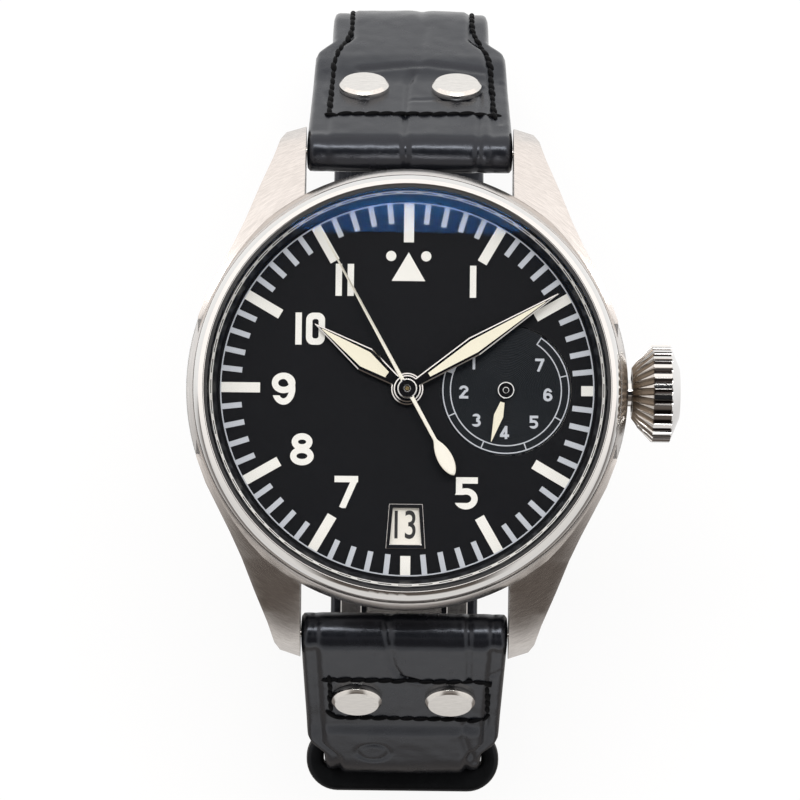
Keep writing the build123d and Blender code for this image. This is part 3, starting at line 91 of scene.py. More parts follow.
class Sheet:
    def __init__(self, tree):
        self.tree = tree
        tree.nodes.clear()

    def add(self, kind, sockets=None, out=0, **settings):
        # Kinds are shader nodes unless they say otherwise; a tuple for out gives a list of wires
        node = self.tree.nodes.new(kind if "Node" in kind else "ShaderNode" + kind)
        for name, value in settings.items():
            setattr(node, name, value)
        for name, value in (sockets or {}).items():
            if isinstance(value, Wire):
                self.tree.links.new(value.socket, node.inputs[name])
            else:
                node.inputs[name].default_value = value
        if isinstance(out, tuple):
            return [Wire(self, node.outputs[name]) for name in out]
        return Wire(self, node.outputs[out]) if node.outputs else node

    def maths(self, operation, first, second=0.0):
        return self.add("Math", {0: first, 1: second}, operation=operation)

    def mix(self, factor, first, second):
        return self.add("Mix", {0: factor, 6: first, 7: second}, 2, data_type="RGBA")

    def shade(self, factor, tone, low, high):
        return self.mix(factor, darker(tone, low), darker(tone, high))

    def place(self):
        return self.add("TexCoord", out="Object")

    def scaled(self, vector, scale, turn=(0, 0, 0)):
        sockets = {"Vector": vector, "Rotation": turn, "Scale": scale}
        return self.add("Mapping", sockets, vector_type="POINT")

    def speckle(self, vector, perMm, detail=2.0, rough=0.5):
        sockets = {"Vector": vector, "Scale": perMm / mm, "Detail": detail, "Roughness": rough}
        return self.add("TexNoise", sockets)

    def fitted(self, value, low, high, toLow=0.0, toHigh=1.0):
        sockets = {0: value, 1: low, 2: high, 3: toLow, 4: toHigh}
        return self.add("MapRange", sockets, interpolation_type="SMOOTHSTEP")

    def rising(self, value, low, high):
        # From 0 to 1 between two distances in millimetres
        return self.fitted(value, low * mm, high * mm)

    def falling(self, value, low, high):
        return self.fitted(value, low * mm, high * mm, 1.0, 0.0)

    def bump(self, height, depthMm):
        sockets = {"Height": height, "Distance": depthMm * mm, "Strength": 1.0}
        return self.add("Bump", sockets)

    def parts(self, vector):
        return self.add("SeparateXYZ", {0: vector}, (0, 1, 2))

    def vector(self, x, y, z):
        return self.add("CombineXYZ", {0: x, 1: y, 2: z})

    def reach(self, x, y, centre=(0, 0)):
        # The distance from a centre that is given in millimetres
        across, along = x - centre[0] * mm, y - centre[1] * mm
        return self.maths("SQRT", across * across + along * along)


finishes = {}


def nodesOf(owner):
    owner.use_nodes = True
    return Sheet(owner.node_tree)


def newFinish(name):
    finishes[name] = bpy.data.materials.new(name)
    return nodesOf(finishes[name])


def makeFinish(name, build, *values):
    sheet = newFinish(name)
    tone, rough, others = build(sheet, sheet.place(), *values)
    shader = sheet.add("BsdfPrincipled", {"Base Color": tone, "Roughness": rough, **others})
    sheet.add("OutputMaterial", {"Surface": shader})


def table(keys, rows):
    return {name: dict(zip(keys, row)) for name, row in rows.items()}


# Metals: a grain is brushed along its stretch or, without one, in circles about the dial's axis

metals = table(("tone", "rough", "spread", "grain", "fine", "stretch"), {
    "satinSteel": ((0.70, 0.67, 0.645), 0.24, 0.08, 0.0006, 11.0),
    "polishedSteel": ((0.80, 0.79, 0.775), 0.055, 0.05),
    "rivetSteel": ((0.80, 0.775, 0.74), 0.2, 0.06, 0.0008, 5.0, (0.25, 3, 3)),
    "claspSteel": ((0.66, 0.655, 0.645), 0.2, 0.08, 0.001, 5.0, (6, 0.15, 6)),
    "nickelPlate": ((0.64, 0.63, 0.6), 0.24, 0.08, 0.001, 5.0, (5, 0.2, 5)),
    "giltBrass": ((0.76, 0.58, 0.28), 0.22, 0.08, 0.0008, 5.0),
    "softIron": ((0.4, 0.395, 0.385), 0.42, 0.12, 0.002, 2.0, (1, 1, 1)),
    "bluedSteel": ((0.03, 0.06, 0.26), 0.16, 0.05),
})
grains = {"clouds": 0.25, "ringClouds": 0.2, "alongRing": 0.6, "alongAxis": 0.3,
          "shades": (0.9, 1.06)}
mirrors = {"smears": 0.35, "hairs": 1.6, "hairStretch": (1, 14, 6), "hairTurn": (0.3, 0.2, 0.5),
           "hairFrom": (0.62, 0.75), "hairRough": 0.03, "shades": (0.96, 1.03)}


def grainedMetal(sheet, place, values):
    if "stretch" in values:
        drawn, cloudSize = sheet.scaled(place, values["stretch"]), grains["clouds"]
    else:
        x, y, z = sheet.parts(place)
        around = sheet.maths("ARCTAN2", y, x) * (grains["alongRing"] * mm)
        drawn = sheet.vector(sheet.reach(x, y), around, z * grains["alongAxis"])
        cloudSize = grains["ringClouds"]
    lines = sheet.speckle(drawn, values["fine"], 3.0, 0.6)
    clouds = sheet.speckle(place, cloudSize)
    tone = sheet.shade(sheet.fitted(lines, 0.3, 0.7), values["tone"], *grains["shades"])
    spread = values["spread"]
    rough = lines * spread + clouds * spread + (values["rough"] - spread)
    return tone, rough, {"Metallic": 1.0, "Normal": sheet.bump(lines, values["grain"])}


def smeared(sheet, place, values, marks):
    # A polished metal's tone and its roughness, which the marks raise
    smears = sheet.speckle(place, mirrors["smears"], 3.0, 0.55)
    rough = smears * values["spread"] + marks + (values["rough"] - values["spread"] / 2)
    return sheet.shade(smears, values["tone"], *mirrors["shades"]), rough


def mirrorMetal(sheet, place, values):
    drawn = sheet.scaled(place, mirrors["hairStretch"], mirrors["hairTurn"])
    marks = sheet.fitted(sheet.speckle(drawn, mirrors["hairs"]), *mirrors["hairFrom"])
    return *smeared(sheet, place, values, marks * mirrors["hairRough"]), {"Metallic": 1.0}


for metalName, metal in metals.items():
    makeFinish(metalName, grainedMetal if "grain" in metal else mirrorMetal, metal)

# The band's and the cone's dark tones are painted shade for the flutes' floors
crownShape = {
    "axisZ": 6.5, "fromX": 23.6, "bandX": 25.7, "domeX": 27.6, "neckRadius": 2.95, "radius": 5.12,
    "grooveFrom": 0.10, "grooveDepth": 0.26, "blend": 0.1, "grooveRough": 0.2,
    "bandDark": (0.014, 0.011, 0.010, 1), "coneDark": (0.24, 0.20, 0.16, 1),
}


def flutedSteel(sheet, place, values, crown):
    # Polished steel with painted shade that darkens the flutes toward their floors
    x, y, z = sheet.parts(place)
    radius = sheet.reach(y, z, (0, crown["axisZ"]))
    rise = (crown["radius"] - crown["neckRadius"]) / (crown["bandX"] - crown["fromX"])
    cone = (x - crown["fromX"] * mm) * rise + crown["neckRadius"] * mm
    depth = sheet.maths("MINIMUM", cone, crown["radius"] * mm) - radius
    domeX, bandX, blend = crown["domeX"], crown["bandX"], crown["blend"]
    onFlutes = sheet.falling(x, domeX - blend / 2, domeX + blend / 5)
    deep = sheet.rising(depth, crown["grooveFrom"], crown["grooveDepth"]) * onFlutes
    onBand = sheet.rising(x, bandX - blend, bandX + blend)
    # Painted shade: the flutes' floors go near black on the band and brown on the cone
    dark = sheet.mix(onBand, crown["coneDark"], crown["bandDark"])
    bright, rough = smeared(sheet, place, values, deep * crown["grooveRough"])
    return sheet.mix(deep, bright, dark), rough, {"Metallic": 1.0}


makeFinish("crownSteel", flutedSteel, metals["polishedSteel"], crownShape)
print("metals made")


# Lacquers, prints, luminous paint, rubber and glass

paints = table(("tone", "rough", "grain", "specks", "shine"), {
    "dialBlack": ((0.006, 0.0066, 0.008), 0.45, 0.004, 9.0, 0.08),
    "trackGrey": ((0.46, 0.49, 0.535), 0.55, 0.003, 12.0),
    "luminous": ((0.76, 0.76, 0.72), 0.62, 0.006, 10.0),
    "handCream": ((0.74, 0.71, 0.57), 0.55, 0.006, 10.0),
    "handWhite": ((0.80, 0.78, 0.69), 0.35, 0.001, 6.0),
    "handBlack": ((0.006, 0.006, 0.007), 0.14, 0.001, 5.0),
    "dateWhite": ((0.74, 0.72, 0.66), 0.5, 0.002, 8.0),
    "dateInk": ((0.008, 0.008, 0.009), 0.45, 0.002, 9.0),
    "blackRubber": ((0.012, 0.012, 0.013), 0.55, 0.004, 6.0),
    "thread": ((0.003, 0.003, 0.0035), 0.5, 0.03, 4.0, 0.04),
})
paintShades = (0.88, 1.1)


def paint(sheet, place, values):
    specks = sheet.speckle(place, values["specks"], 3.0, 0.6)
    clouds = sheet.speckle(place, 0.3)
    tone = sheet.shade(specks * 0.5 + clouds * 0.5, values["tone"], *paintShades)
    rough = specks * 0.1 + clouds * 0.08 + (values["rough"] - 0.09)
    bump = sheet.bump(specks, values["grain"])
    return tone, rough, {"Normal": bump, "Specular IOR Level": values.get("shine", 0.5)}


for paintName, lacquer in paints.items():
    makeFinish(paintName, paint, lacquer)

pips = {"centre": (1.83, 13.9), "shadeReach": 0.3975, "shade": 0.372, "most": 0.8}


def numeralWhite(sheet, place, values):
    # Luminous paint, with painted shade in the middle of the two round pips beside the triangle
    x, y = sheet.parts(place)[:2]
    distance = sheet.reach(sheet.maths("ABSOLUTE", x), y, pips["centre"])
    middle = sheet.falling(distance, 0.0, pips["shadeReach"])
    specks = sheet.speckle(place, values["specks"], 3.0, 0.6)
    plain = sheet.shade(specks, values["tone"], *paintShades)
    # Painted shade: the pips' middles get a darker copy of the paint's tone
    tone = sheet.mix(middle * pips["most"], plain, darker(values["tone"], pips["shade"]))
    return tone, specks * 0.1 + 0.55, {"Normal": sheet.bump(specks, values["grain"])}


makeFinish("numeralWhite", numeralWhite, paints["luminous"])

hubs = table(("paint", "centre", "blackRadius", "neckRadius", "edgeWidth", "edgeRough",
              "ringRadius", "ringWidth"), {
    "secondsWhite": ("handWhite", (0.0, 0.0), 1.03, 1.03, 0.13, 0.0, 0.36, 0.05),
    "reserveCream": ("handCream", (10.3, 0.0), 0.87, 1.32, 0.1, 0.3, 0.3, 0.04),
})
hubTones = {"black": (0.006, 0.006, 0.007, 1), "ring": (0.75, 0.75, 0.74, 1), "soft": 0.02}


def hubbedHand(sheet, place, hub):
    # Lacquer, with a glossy black hub and neck, a polished edge and a bright ring round the pin
    values = paints[hub["paint"]]
    radius = sheet.reach(*sheet.parts(place)[:2], hub["centre"])
    specks = sheet.speckle(place, values["specks"], 3.0, 0.6)
    soft = hubTones["soft"]
    black = sheet.falling(radius, hub["neckRadius"] - soft, hub["neckRadius"] + soft)
    onHub = sheet.falling(radius, hub["blackRadius"], hub["blackRadius"] + soft * 1.5)
    offRing = sheet.maths("ABSOLUTE", radius - hub["ringRadius"] * mm)
    pinRing = sheet.falling(offRing, hub["ringWidth"] * 0.4, hub["ringWidth"])
    edgeFrom = hub["blackRadius"] - hub["edgeWidth"]
    edgeRing = sheet.rising(radius, edgeFrom - soft, edgeFrom)
    ring = sheet.maths("MAXIMUM", pinRing, edgeRing) * onHub
    white = sheet.shade(specks, values["tone"], 0.9, 1.05)
    tone = sheet.mix(black, white, sheet.mix(ring, hubTones["black"], hubTones["ring"]))
    rough = specks * 0.08 + (1 - black) * 0.25 + ring * hub["edgeRough"] + 0.08
    return tone, rough, {"Metallic": ring * black}


for hubName, hubShape in hubs.items():
    makeFinish(hubName, hubbedHand, hubShape)

flange = {"tone": (0.005, 0.005, 0.006, 1), "lineTone": (0.82, 0.82, 0.79, 1), "lineRadius": 20.43,
          "lineHalf": 0.15, "dashHalf": 0.05, "dashes": 60, "shine": 0.25}


def flangeBlack(sheet, place):
    # Matt black, with a painted reflection of the minute track: a fine light line round it that a
    # dark dash splits at every minute
    x, y = sheet.parts(place)[:2]
    specks = sheet.speckle(place, 6.0, 3.0, 0.6)
    off = sheet.maths("ABSOLUTE", sheet.reach(x, y) - flange["lineRadius"] * mm)
    line = sheet.falling(off, flange["lineHalf"] * 0.7, flange["lineHalf"])
    dash = sheet.falling(off, flange["dashHalf"] * 0.6, flange["dashHalf"])
    turns = sheet.maths("ARCTAN2", y, x) * flange["dashes"]
    along = sheet.fitted(sheet.maths("COSINE", turns), -0.6, -0.4)
    # Painted reflection: the light line and its dark dashes are mirrored ticks, not print
    tone = sheet.mix(line * (1 - dash * along), flange["tone"], flange["lineTone"])
    return tone, specks * 0.1 + 0.28, {"Specular IOR Level": flange["shine"]}


makeFinish("flangeBlack", flangeBlack)

# The low and high tones are the grooves' painted sheen, dark and light in turn
subdial = {"centre": (10.3, 0.0), "ringPitch": 0.17, "ringDepth": 0.006, "shine": 0.15,
           "low": (0.0035, 0.0052, 0.0072, 1), "high": (0.0075, 0.0102, 0.0135, 1)}


def groovedBlack(sheet, place):
    radius = sheet.reach(*sheet.parts(place)[:2], subdial["centre"])
    rings = sheet.maths("SINE", radius * (2 * pi / (subdial["ringPitch"] * mm))) * 0.5 + 0.5
    specks = sheet.speckle(place, 9.0, 3.0, 0.6)
    # Painted sheen: the tone swings with the rings, while the bump makes the grooves themselves
    tone = sheet.mix(rings, subdial["low"], subdial["high"])
    bump = sheet.bump(rings, subdial["ringDepth"])
    rough = specks * 0.1 + rings * 0.08 + 0.3
    return tone, rough, {"Normal": bump, "Specular IOR Level": subdial["shine"]}


makeFinish("subdialBlack", groovedBlack)

glass = {"blue": (0.07, 0.34, 1.0, 1), "straight": 0.0075, "most": 0.06, "rough": 0.0, "steep": 5}


def crystalGlass():
    # Clear, with a weak blue reflection from its coating that grows toward grazing angles
    sheet = newFinish("sapphire")
    clear = sheet.add("BsdfTransparent", {"Color": (1, 1, 1, 1)})
    smears = sheet.speckle(sheet.place(), 0.08)
    shine = sheet.add("BsdfGlossy", {"Color": glass["blue"], "Roughness": glass["rough"]})
    facing = sheet.add("LayerWeight", {"Blend": 0.5}, 1)
    growth = facing ** glass["steep"] * (1 - glass["straight"]) + glass["straight"]
    amount = sheet.maths("MINIMUM", growth, glass["most"]) * (smears * 0.12 + 0.94)
    mixed = sheet.add("MixShader", {0: amount, 1: clear, 2: shine})
    sheet.add("OutputMaterial", {"Surface": mixed})


crystalGlass()

leathers = table(("tone", "rough", "pore", "poreDepth", "shine"), {
    "strapLeather": ((0.0055, 0.0062, 0.0086), 0.25, 2.6, 0.012, 0.52),
    "keeperLeather": ((0.003, 0.0032, 0.0034), 0.34, 3.2, 0.006, 0.16),
})
leatherTint = (0.84, 0.89, 1.0, 1)


def leather(sheet, place, values):
    sockets = {"Vector": place, "Scale": values["pore"] / mm}
    pores = sheet.add("TexVoronoi", sockets, feature="SMOOTH_F1")
    folds = sheet.speckle(place, 0.9, 4.0, 0.55)
    clouds = sheet.speckle(place, 0.16, 3.0)
    tone = sheet.shade(folds * 0.6 + clouds * 0.4, values["tone"], 0.7, 1.35)
    rough = folds * 0.14 + clouds * 0.12 + (values["rough"] - 0.13)
    bump = sheet.bump(pores * 0.6 + folds * 0.9, values["poreDepth"])
    return tone, rough, {"Normal": bump, "Specular IOR Level": values["shine"],
                         "Specular Tint": leatherTint}


for leatherName, hide in leathers.items():
    makeFinish(leatherName, leather, hide)
print("paints, glass and leather made")

# A slot's finish has the slot's name in camel case, apart from these
finishOfSlot = {
    "black_paint": "dialBlack", "brass": "giltBrass", "hand_luminous": "handCream",
    "black_leather": "strapLeather",
}
finishOfNode = {
    "dial_flange": "flangeBlack", "seconds_hand": "secondsWhite", "reserve_hand": "reserveCream",
    "crown": "crownSteel", "dial_numerals": "numeralWhite",
}


def finishFor(part):
    first, *rest = part["material_slot"].split("_")
    plain = first + "".join(word.capitalize() for word in rest)
    return finishes[finishOfNode.get(part["node"], finishOfSlot.get(part["material_slot"], plain))]


for part in frame["record"]["subparts"]:
    node = nodes[part["node"]]
    if not node.material_slots:
        node.data.materials.append(finishFor(part))
    for slot in node.material_slots:
        slot.material = finishFor(part)


# The metal parts' edges are rounded by these widths

edgeWidths = {
    "seconds_hand": 0.12, "reserve_hand": 0.03, "case_middle": 0.12, "bezel": 0.08,
    "strap_rivets_upper": 0.10, "strap_rivets_lower": 0.10, "date_window_frame": 0.04,
    "clasp_cover": 0.15, "base_blade": 0.10, "fold_blade": 0.10,
}
edgeAngle = 35

for nodeName, edgeWidth in edgeWidths.items():
    weld = nodes[nodeName].modifiers.new("weld", "WELD")
    weld.merge_threshold = 0.001 * mm
    bevel = nodes[nodeName].modifiers.new("edges", "BEVEL")
    bevel.width = edgeWidth * mm
    bevel.segments = 2
    bevel.limit_method = "ANGLE"
    bevel.angle_limit = radians(edgeAngle)
    bevel.use_clamp_overlap = nodeName != "seconds_hand"  # its round hub is finely faceted


# Meshes are made from points in millimetres

def inScene(name, data):
    thing = bpy.data.objects.new(name, data)
    bpy.context.scene.collection.objects.link(thing)
    return thing


def solidFrom(name, points, faces, finish, smooth=True):
    mesh = bpy.data.meshes.new(name)
    mesh.from_pydata([tuple(part * mm for part in point) for point in points], [], faces)
    mesh.validate()
    work = bmesh.new()
    work.from_mesh(mesh)
    bmesh.ops.remove_doubles(work, verts=work.verts, dist=0.002 * mm)
    bmesh.ops.dissolve_degenerate(work, edges=work.edges, dist=0.0005 * mm)
    bmesh.ops.recalc_face_normals(work, faces=work.faces)
    work.to_mesh(mesh)
    work.free()
    for face in mesh.polygons:
        face.use_smooth = smooth
    mesh.materials.append(finishes[finish])
    return inScene(name, mesh)


def ringFaces(rings, size, first=0, closed=False):
    # Quads between each ring of points and the next
    faces = []
    for k in range(rings if closed else rings - 1):
        here, there = first + k * size, first + (k + 1) % rings * size
        for j in range(size):
            after = (j + 1) % size
            faces.append((here + j, here + after, there + after, there + j))
    return faces


def plainMesh(thing, name):
    # The evaluated shape as a plain mesh, and the old object removed
    graph = bpy.context.evaluated_depsgraph_get()
    shape = thing.evaluated_get(graph)
    mesh = bpy.data.meshes.new_from_object(shape, preserve_all_data_layers=True, depsgraph=graph)
    bpy.data.objects.remove(thing)
    mesh.name = name
    return inScene(name, mesh)


def smoothStep(value):
    value = np.clip(value, 0.0, 1.0)
    return value * value * (3 - 2 * value)


# Strap halves: each is a padded leather band that wraps its spring bar

strap = {
    "barY": 25.6, "barZ": 2.6, "tubeRadius": 2.2, "slope": 58.6, "floorZ": -43.0,
    "neckThickness": 3.0, "bendRadius": 12.0, "cornerRadius": 14.0, "across": 84, "sideSteps": 3,
    "topHalf": 10.85,
    "shoulderHalf": 10.4, "neckHalf": 8.6, "tailHalf": 8.4, "leastHalf": 0.2, "tipAbove": 5.0,
    "shoulderZ": -12.6, "neckZ": -16.2, "edgeRound": 0.7, "backRound": 0.3, "edgeBulge": 0.1,
    "tubeBlend": 3.3, "endSteps": 12,
}
strapHalves = {
    "upper": {
        "node": "strap_upper", "side": 1, "steps": [22, 96, 20, 16, 40, 8], "endY": 26.0,
        "endThickness": 3.0, "endTube": 1.9, "endTubeZ": -41.0,
        "padFrom": 12.6, "padTo": 18.4, "padHeight": 0.6, "padRise": 0.06,
        "marginWidth": 2.0, "marginDrop": 0.2, "marginFill": 0.0, "seamGroove": 0.1, "seed": 3.0,
        "creases": [
            ((-0.2, -6), (-0.6, 0), (-0.55, 5), (-0.3, 12.3), (0.3, 14.6), 0.30, 0.30),
            ((7.1, -6), (7.3, 0), (7.5, 6), (7.65, 11.5), 0.26, 0.28),
            ((1.0, 17), (1.1, 20), (1.6, 26), (1.2, 33), 0.16, 0.55),
            ((-5.4, 15.2), (-1.5, 15.9), (1.8, 16.3), (7.8, 15.2), 0.20, 0.35),
            ((0.2, 8.2), (3.0, 8.6), (6.8, 8.4), 0.10, 0.25),
            ((-8.8, 8.0), (-9.5, 11.0), (-9.2, 15.0), 0.10, 0.3),
            ((9.7, 3.0), (10.1, 8.0), (9.9, 13.0), 0.12, 0.25),
        ],
        "marks": [],
    },
    "lower": {
        "node": "strap_lower", "side": -1, "steps": [22, 96, 20, 16, 40, 76], "endY": -19.0,
        "endThickness": 2.2, "padFrom": 15.6, "padTo": 17.6, "padHeight": 0.05, "padRise": 0.25,
        "marginWidth": 1.5, "marginDrop": 0.4, "marginFill": 0.9, "seamGroove": 0.2, "seed": 11.0,
        "creases": [
            ((-2.3, -6), (-1.9, -3), (-1.5, 0), (-1.1, 3.2), (-0.3, 5.4), (1.5, 6.2), 0.26, 0.24),
            ((-1.5, -6), (-1.3, -2), (-0.9, 1.0), 0.10, 0.18),
            ((6.6, -6), (6.8, -2), (6.9, 2.0), (7.0, 6.2), 0.24, 0.24),
            ((6.9, 15.2), (6.6, 18.0), (7.1, 21.0), (8.0, 24.5), 0.26, 0.35),
            ((8.9, 15.0), (9.0, 19.0), (8.3, 21.8), (7.4, 23.2), 0.14, 0.3),
            ((9.4, 5.8), (10.4, 4.4), 0.10, 0.2),
        ],
        "marks": [(-3.26, 21.25, 1.7, 0.22, 0.28)],
    },
}
leatherForm = {
    "marginShift": 0.25, "marginSoft": 1.1, "tubeFrom": 1.0, "tubeSoft": 2.5, "tubeMargin": 0.75,
    "padCrown": 0.12, "fillFrom": 16.0, "fillSoft": 4.0, "grooveHalf": 0.28, "tubeGroove": 0.5,
    "ridge": 0.25, "ridgeAt": 2.2, "ridgeHalf": 1.6, "slowWave": (0.07, 0.22, 0.2),
    "quickWave": (0.03, 0.7, 0.6),
}
tailScales = {
    "from": 30.0, "spare": 4.0, "pitch": 7.6, "pitchSway": 1.1, "lean": 0.9, "sway": 1.4,
    "half": 6.6, "length": 8.3, "depth": 0.16, "spread": 0.3,
}


def toward(turn):
    return Vector((cos(turn), sin(turn)))


def bandLine(corners, counts):
    # Points along straight runs and the arcs between them, which all turn the same way
    # A corner is (y, z, radius)
    spots = [Vector(corner[:2]) for corner in corners]
    points = []
    place = spots[0]
    for k in range(1, len(spots) - 1):
        corner, radius = spots[k], corners[k][2]
        inward = (corner - spots[k - 1]).normalized()
        outward = (spots[k + 1] - corner).normalized()
        turn = inward.angle(outward)
        cut = radius * tan(turn / 2)
        start = corner - inward * cut
        centre = start + Vector((inward.y, -inward.x)) * radius
        run, arc = counts[2 * k - 2], counts[2 * k - 1]
        points += [place.lerp(start, step / run) for step in range(run)]
        for step in range(arc):
            points.append(centre + Matrix.Rotation(-turn * step / arc, 2) @ (start - centre))
        place = corner + outward * cut
    last = counts[-1]
    points += [place.lerp(spots[-1], step / last) for step in range(last + 1)]
    return points


def bandStations(half):
    # Outer and inner points (y, z) from the tube's far side to the end, and the outer length
    slope = radians(strap["slope"])
    bar = Vector((strap["barY"], strap["barZ"]))
    away = toward(pi / 2 - slope) * strap["tubeRadius"]
    outerStart, innerStart = bar + away, bar - away
    sideY = abs(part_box(half["node"])[0 if half["side"] < 0 else 1].y) / mm
    thick = strap["neckThickness"]
    bendZ = outerStart.y - (sideY - outerStart.x) * tan(slope)
    innerBendZ = bendZ - thick * tan((pi / 2 - slope) / 2)
    floorZ = strap["floorZ"]
    counts = half["steps"][1:]
    corner, bend = strap["cornerRadius"], strap["bendRadius"]
    outer = bandLine([(*outerStart, 0), (sideY, bendZ, bend), (sideY, floorZ, corner),
                      (half["endY"], floorZ, 0)], counts)
    inner = bandLine([(*innerStart, 0), (sideY - thick, innerBendZ, bend - thick),
                      (sideY - thick, floorZ + thick, corner - thick),
                      (half["endY"], floorZ + half["endThickness"], 0)], counts)
    tube = half["steps"][0]
    turns = [pi / 2 * (1 - step / tube) for step in range(tube)]
    outer = [bar + Matrix.Rotation(turn, 2) @ away for turn in turns] + outer
    inner = [bar - Matrix.Rotation(-turn, 2) @ away for turn in turns] + inner
    if "endTube" in half:
        centre = Vector((half["endY"], half["endTubeZ"]))
        steps = strap["endSteps"]
        outer, inner = outer[:-3], inner[:len(outer) - 3]
        for step in range(steps + 1):
            turn = pi / 2 * (1 + step / steps)
            outer.append(centre + toward(-turn) * half["endTube"])
            inner.append(centre + toward(turn) * half["endTube"])
    length = [0.0]
    for before, after in zip(outer, outer[1:]):
        length.append(length[-1] + (after - before).length)
    return outer, inner, np.array(length) - length[tube]


def halfWidth(half, y, z):
    # Half the width: a slow taper, a rounded shoulder, the neck, and a round tip on the tail
    taper = np.clip((strap["barZ"] - z) / (strap["barZ"] - strap["shoulderZ"]), 0, 1)
    width = strap["topHalf"] + (strap["shoulderHalf"] - strap["topHalf"]) * taper
    drop = smoothStep((strap["shoulderZ"] - z) / (strap["shoulderZ"] - strap["neckZ"]))
    low = np.clip((strap["neckZ"] - z) / (strap["neckZ"] - strap["floorZ"]), 0, 1)
    neck = strap["neckHalf"] + (strap["tailHalf"] - strap["neckHalf"]) * low * (half["side"] < 0)
    width = width + (neck - width) * drop
    tip = strap["tailHalf"]
    if half["side"] < 0 and y < half["endY"] + tip and z < strap["floorZ"] + strap["tipAbove"]:
        left = max(y - half["endY"], 0.0)
        width = sqrt(max(tip ** 2 - (tip - left) ** 2, strap["leastHalf"] ** 2))
    return width


def lineDistance(x, s, line):
    nearest = np.full(x.shape, 1e6)
    for (x0, s0), (x1, s1) in zip(line, line[1:]):
        dx, ds = x1 - x0, s1 - s0
        share = np.clip(((x - x0) * dx + (s - s0) * ds) / (dx * dx + ds * ds), 0, 1)
        nearest = np.minimum(nearest, np.hypot(x - x0 - share * dx, s - s0 - share * ds))
    return nearest


def tailCreases(half, lastS):
    # Scale creases on the stretch past the photographed one, spaced unevenly by a formula
    scale = tailScales
    edge, grain = scale["half"], (scale["depth"], scale["spread"])
    lines = []
    s = scale["from"]
    k = 0
    while s < lastS - scale["spare"]:
        lean = sin(k * 2.3 + half["seed"]) * scale["lean"]
        across = ((-edge, s + lean), (-2, s - lean * 0.4), (2.5, s + 0.5 * lean), (edge, s - lean))
        lines.append((*across, *grain))
        side = sin(k * 1.7 + half["seed"]) * scale["sway"]
        lines.append(((side, s), (side * 0.6, s + 4), (side * 1.2, s + scale["length"]), *grain))
        s += scale["pitch"] + sin(k * 1.3 + half["seed"]) * scale["pitchSway"]
        k += 1
    return lines


def relief(half, x, s, width):
    # How far the leather stands off the band's outer line, in millimetres
    form = leatherForm
    inset = width - np.abs(x)
    inside = smoothStep((inset - half["marginWidth"] + form["marginShift"]) / form["marginSoft"])
    onTube = smoothStep((form["tubeFrom"] - s) / form["tubeSoft"])
    pad = smoothStep((s - half["padFrom"]) / (half["padTo"] - half["padFrom"]))
    crown = 1 - (x / np.maximum(width, 1e-3)) ** 2
    height = pad * (half["padHeight"] + inside * (half["padRise"] + form["padCrown"] * crown))
    filled = half["marginFill"] * smoothStep((s - form["fillFrom"]) / form["fillSoft"])
    height -= half["marginDrop"] * (1 - inside) * (1 - form["tubeMargin"] * onTube) * (1 - filled)
    groove = np.exp(-((inset - half["marginWidth"]) / form["grooveHalf"]) ** 2)
    height -= half["seamGroove"] * groove * (1 - form["tubeGroove"] * onTube)
    rounding = strap["edgeRound"]
    edge = np.clip(rounding - inset, 0, rounding)
    height -= rounding - np.sqrt(np.maximum(rounding ** 2 - edge ** 2, 0))
    for *line, depth, spread in half["creases"] + tailCreases(half, float(s.max())):
        distance = lineDistance(x, s, line)
        ridge = np.exp(-((distance - form["ridgeAt"] * spread) / (form["ridgeHalf"] * spread)) ** 2)
        height += form["ridge"] * depth * ridge - depth / (1 + (distance / spread) ** 2)
    for centreX, centreS, radius, depth, spread in half["marks"]:
        distance = np.abs(np.hypot(x - centreX, s - centreS) - radius)
        height -= depth * np.exp(-(distance / spread) ** 2)
    return height


def waves(half, x, s):
    seed = half["seed"]
    slow, slowX, slowS = leatherForm["slowWave"]
    quick, quickX, quickS = leatherForm["quickWave"]
    quickPart = quick * noise.noise((x * quickX, s * quickS + seed, seed))
    return slow * noise.noise((x * slowX + seed, s * slowS, seed)) + quickPart


def pathNormals(points):
    normals = []
    for k in range(len(points)):
        along = points[min(k + 1, len(points) - 1)] - points[max(k - 1, 0)]
        normals.append(Vector((-along.y, along.x)).normalized())
    return normals


class Band:
    # One half's stations, with the point on its leather at any (x, station length)
    def __init__(self, half):
        self.half = half
        self.outer, self.inner, self.length = bandStations(half)
        self.width = np.array([halfWidth(half, p.x, p.y) for p in self.outer])
        self.outerNormal = pathNormals(self.outer)
        self.innerNormal = [-n for n in pathNormals(self.inner)]

    def onLeather(self, x, s, lift):
        k = int(np.clip(np.searchsorted(self.length, s) - 1, 0, len(self.length) - 2))
        share = (s - self.length[k]) / (self.length[k + 1] - self.length[k])
        place = self.outer[k].lerp(self.outer[k + 1], share)
        normal = self.outerNormal[k].lerp(self.outerNormal[k + 1], share).normalized()
        width = self.width[k] + (self.width[k + 1] - self.width[k]) * share
        shape = relief(self.half, np.array([x]), np.array([s]), np.array([width]))
        height = float(shape[0]) + waves(self.half, x, s)
        place = place + normal * (height + lift)
        side = self.half["side"]
        return (x, side * place.x, place.y), (0, side * normal.x, normal.y)


def wallPoints(first, last, bulge):
    # Points across a cut edge, which swells in the middle
    wall = []
    for step in range(1, strap["sideSteps"] + 1):
        part = step / (strap["sideSteps"] + 1)
        x, y, z = (start + (end - start) * part for start, end in zip(first, last))
        wall.append((x + bulge * sin(pi * part), y, z))
    return wall


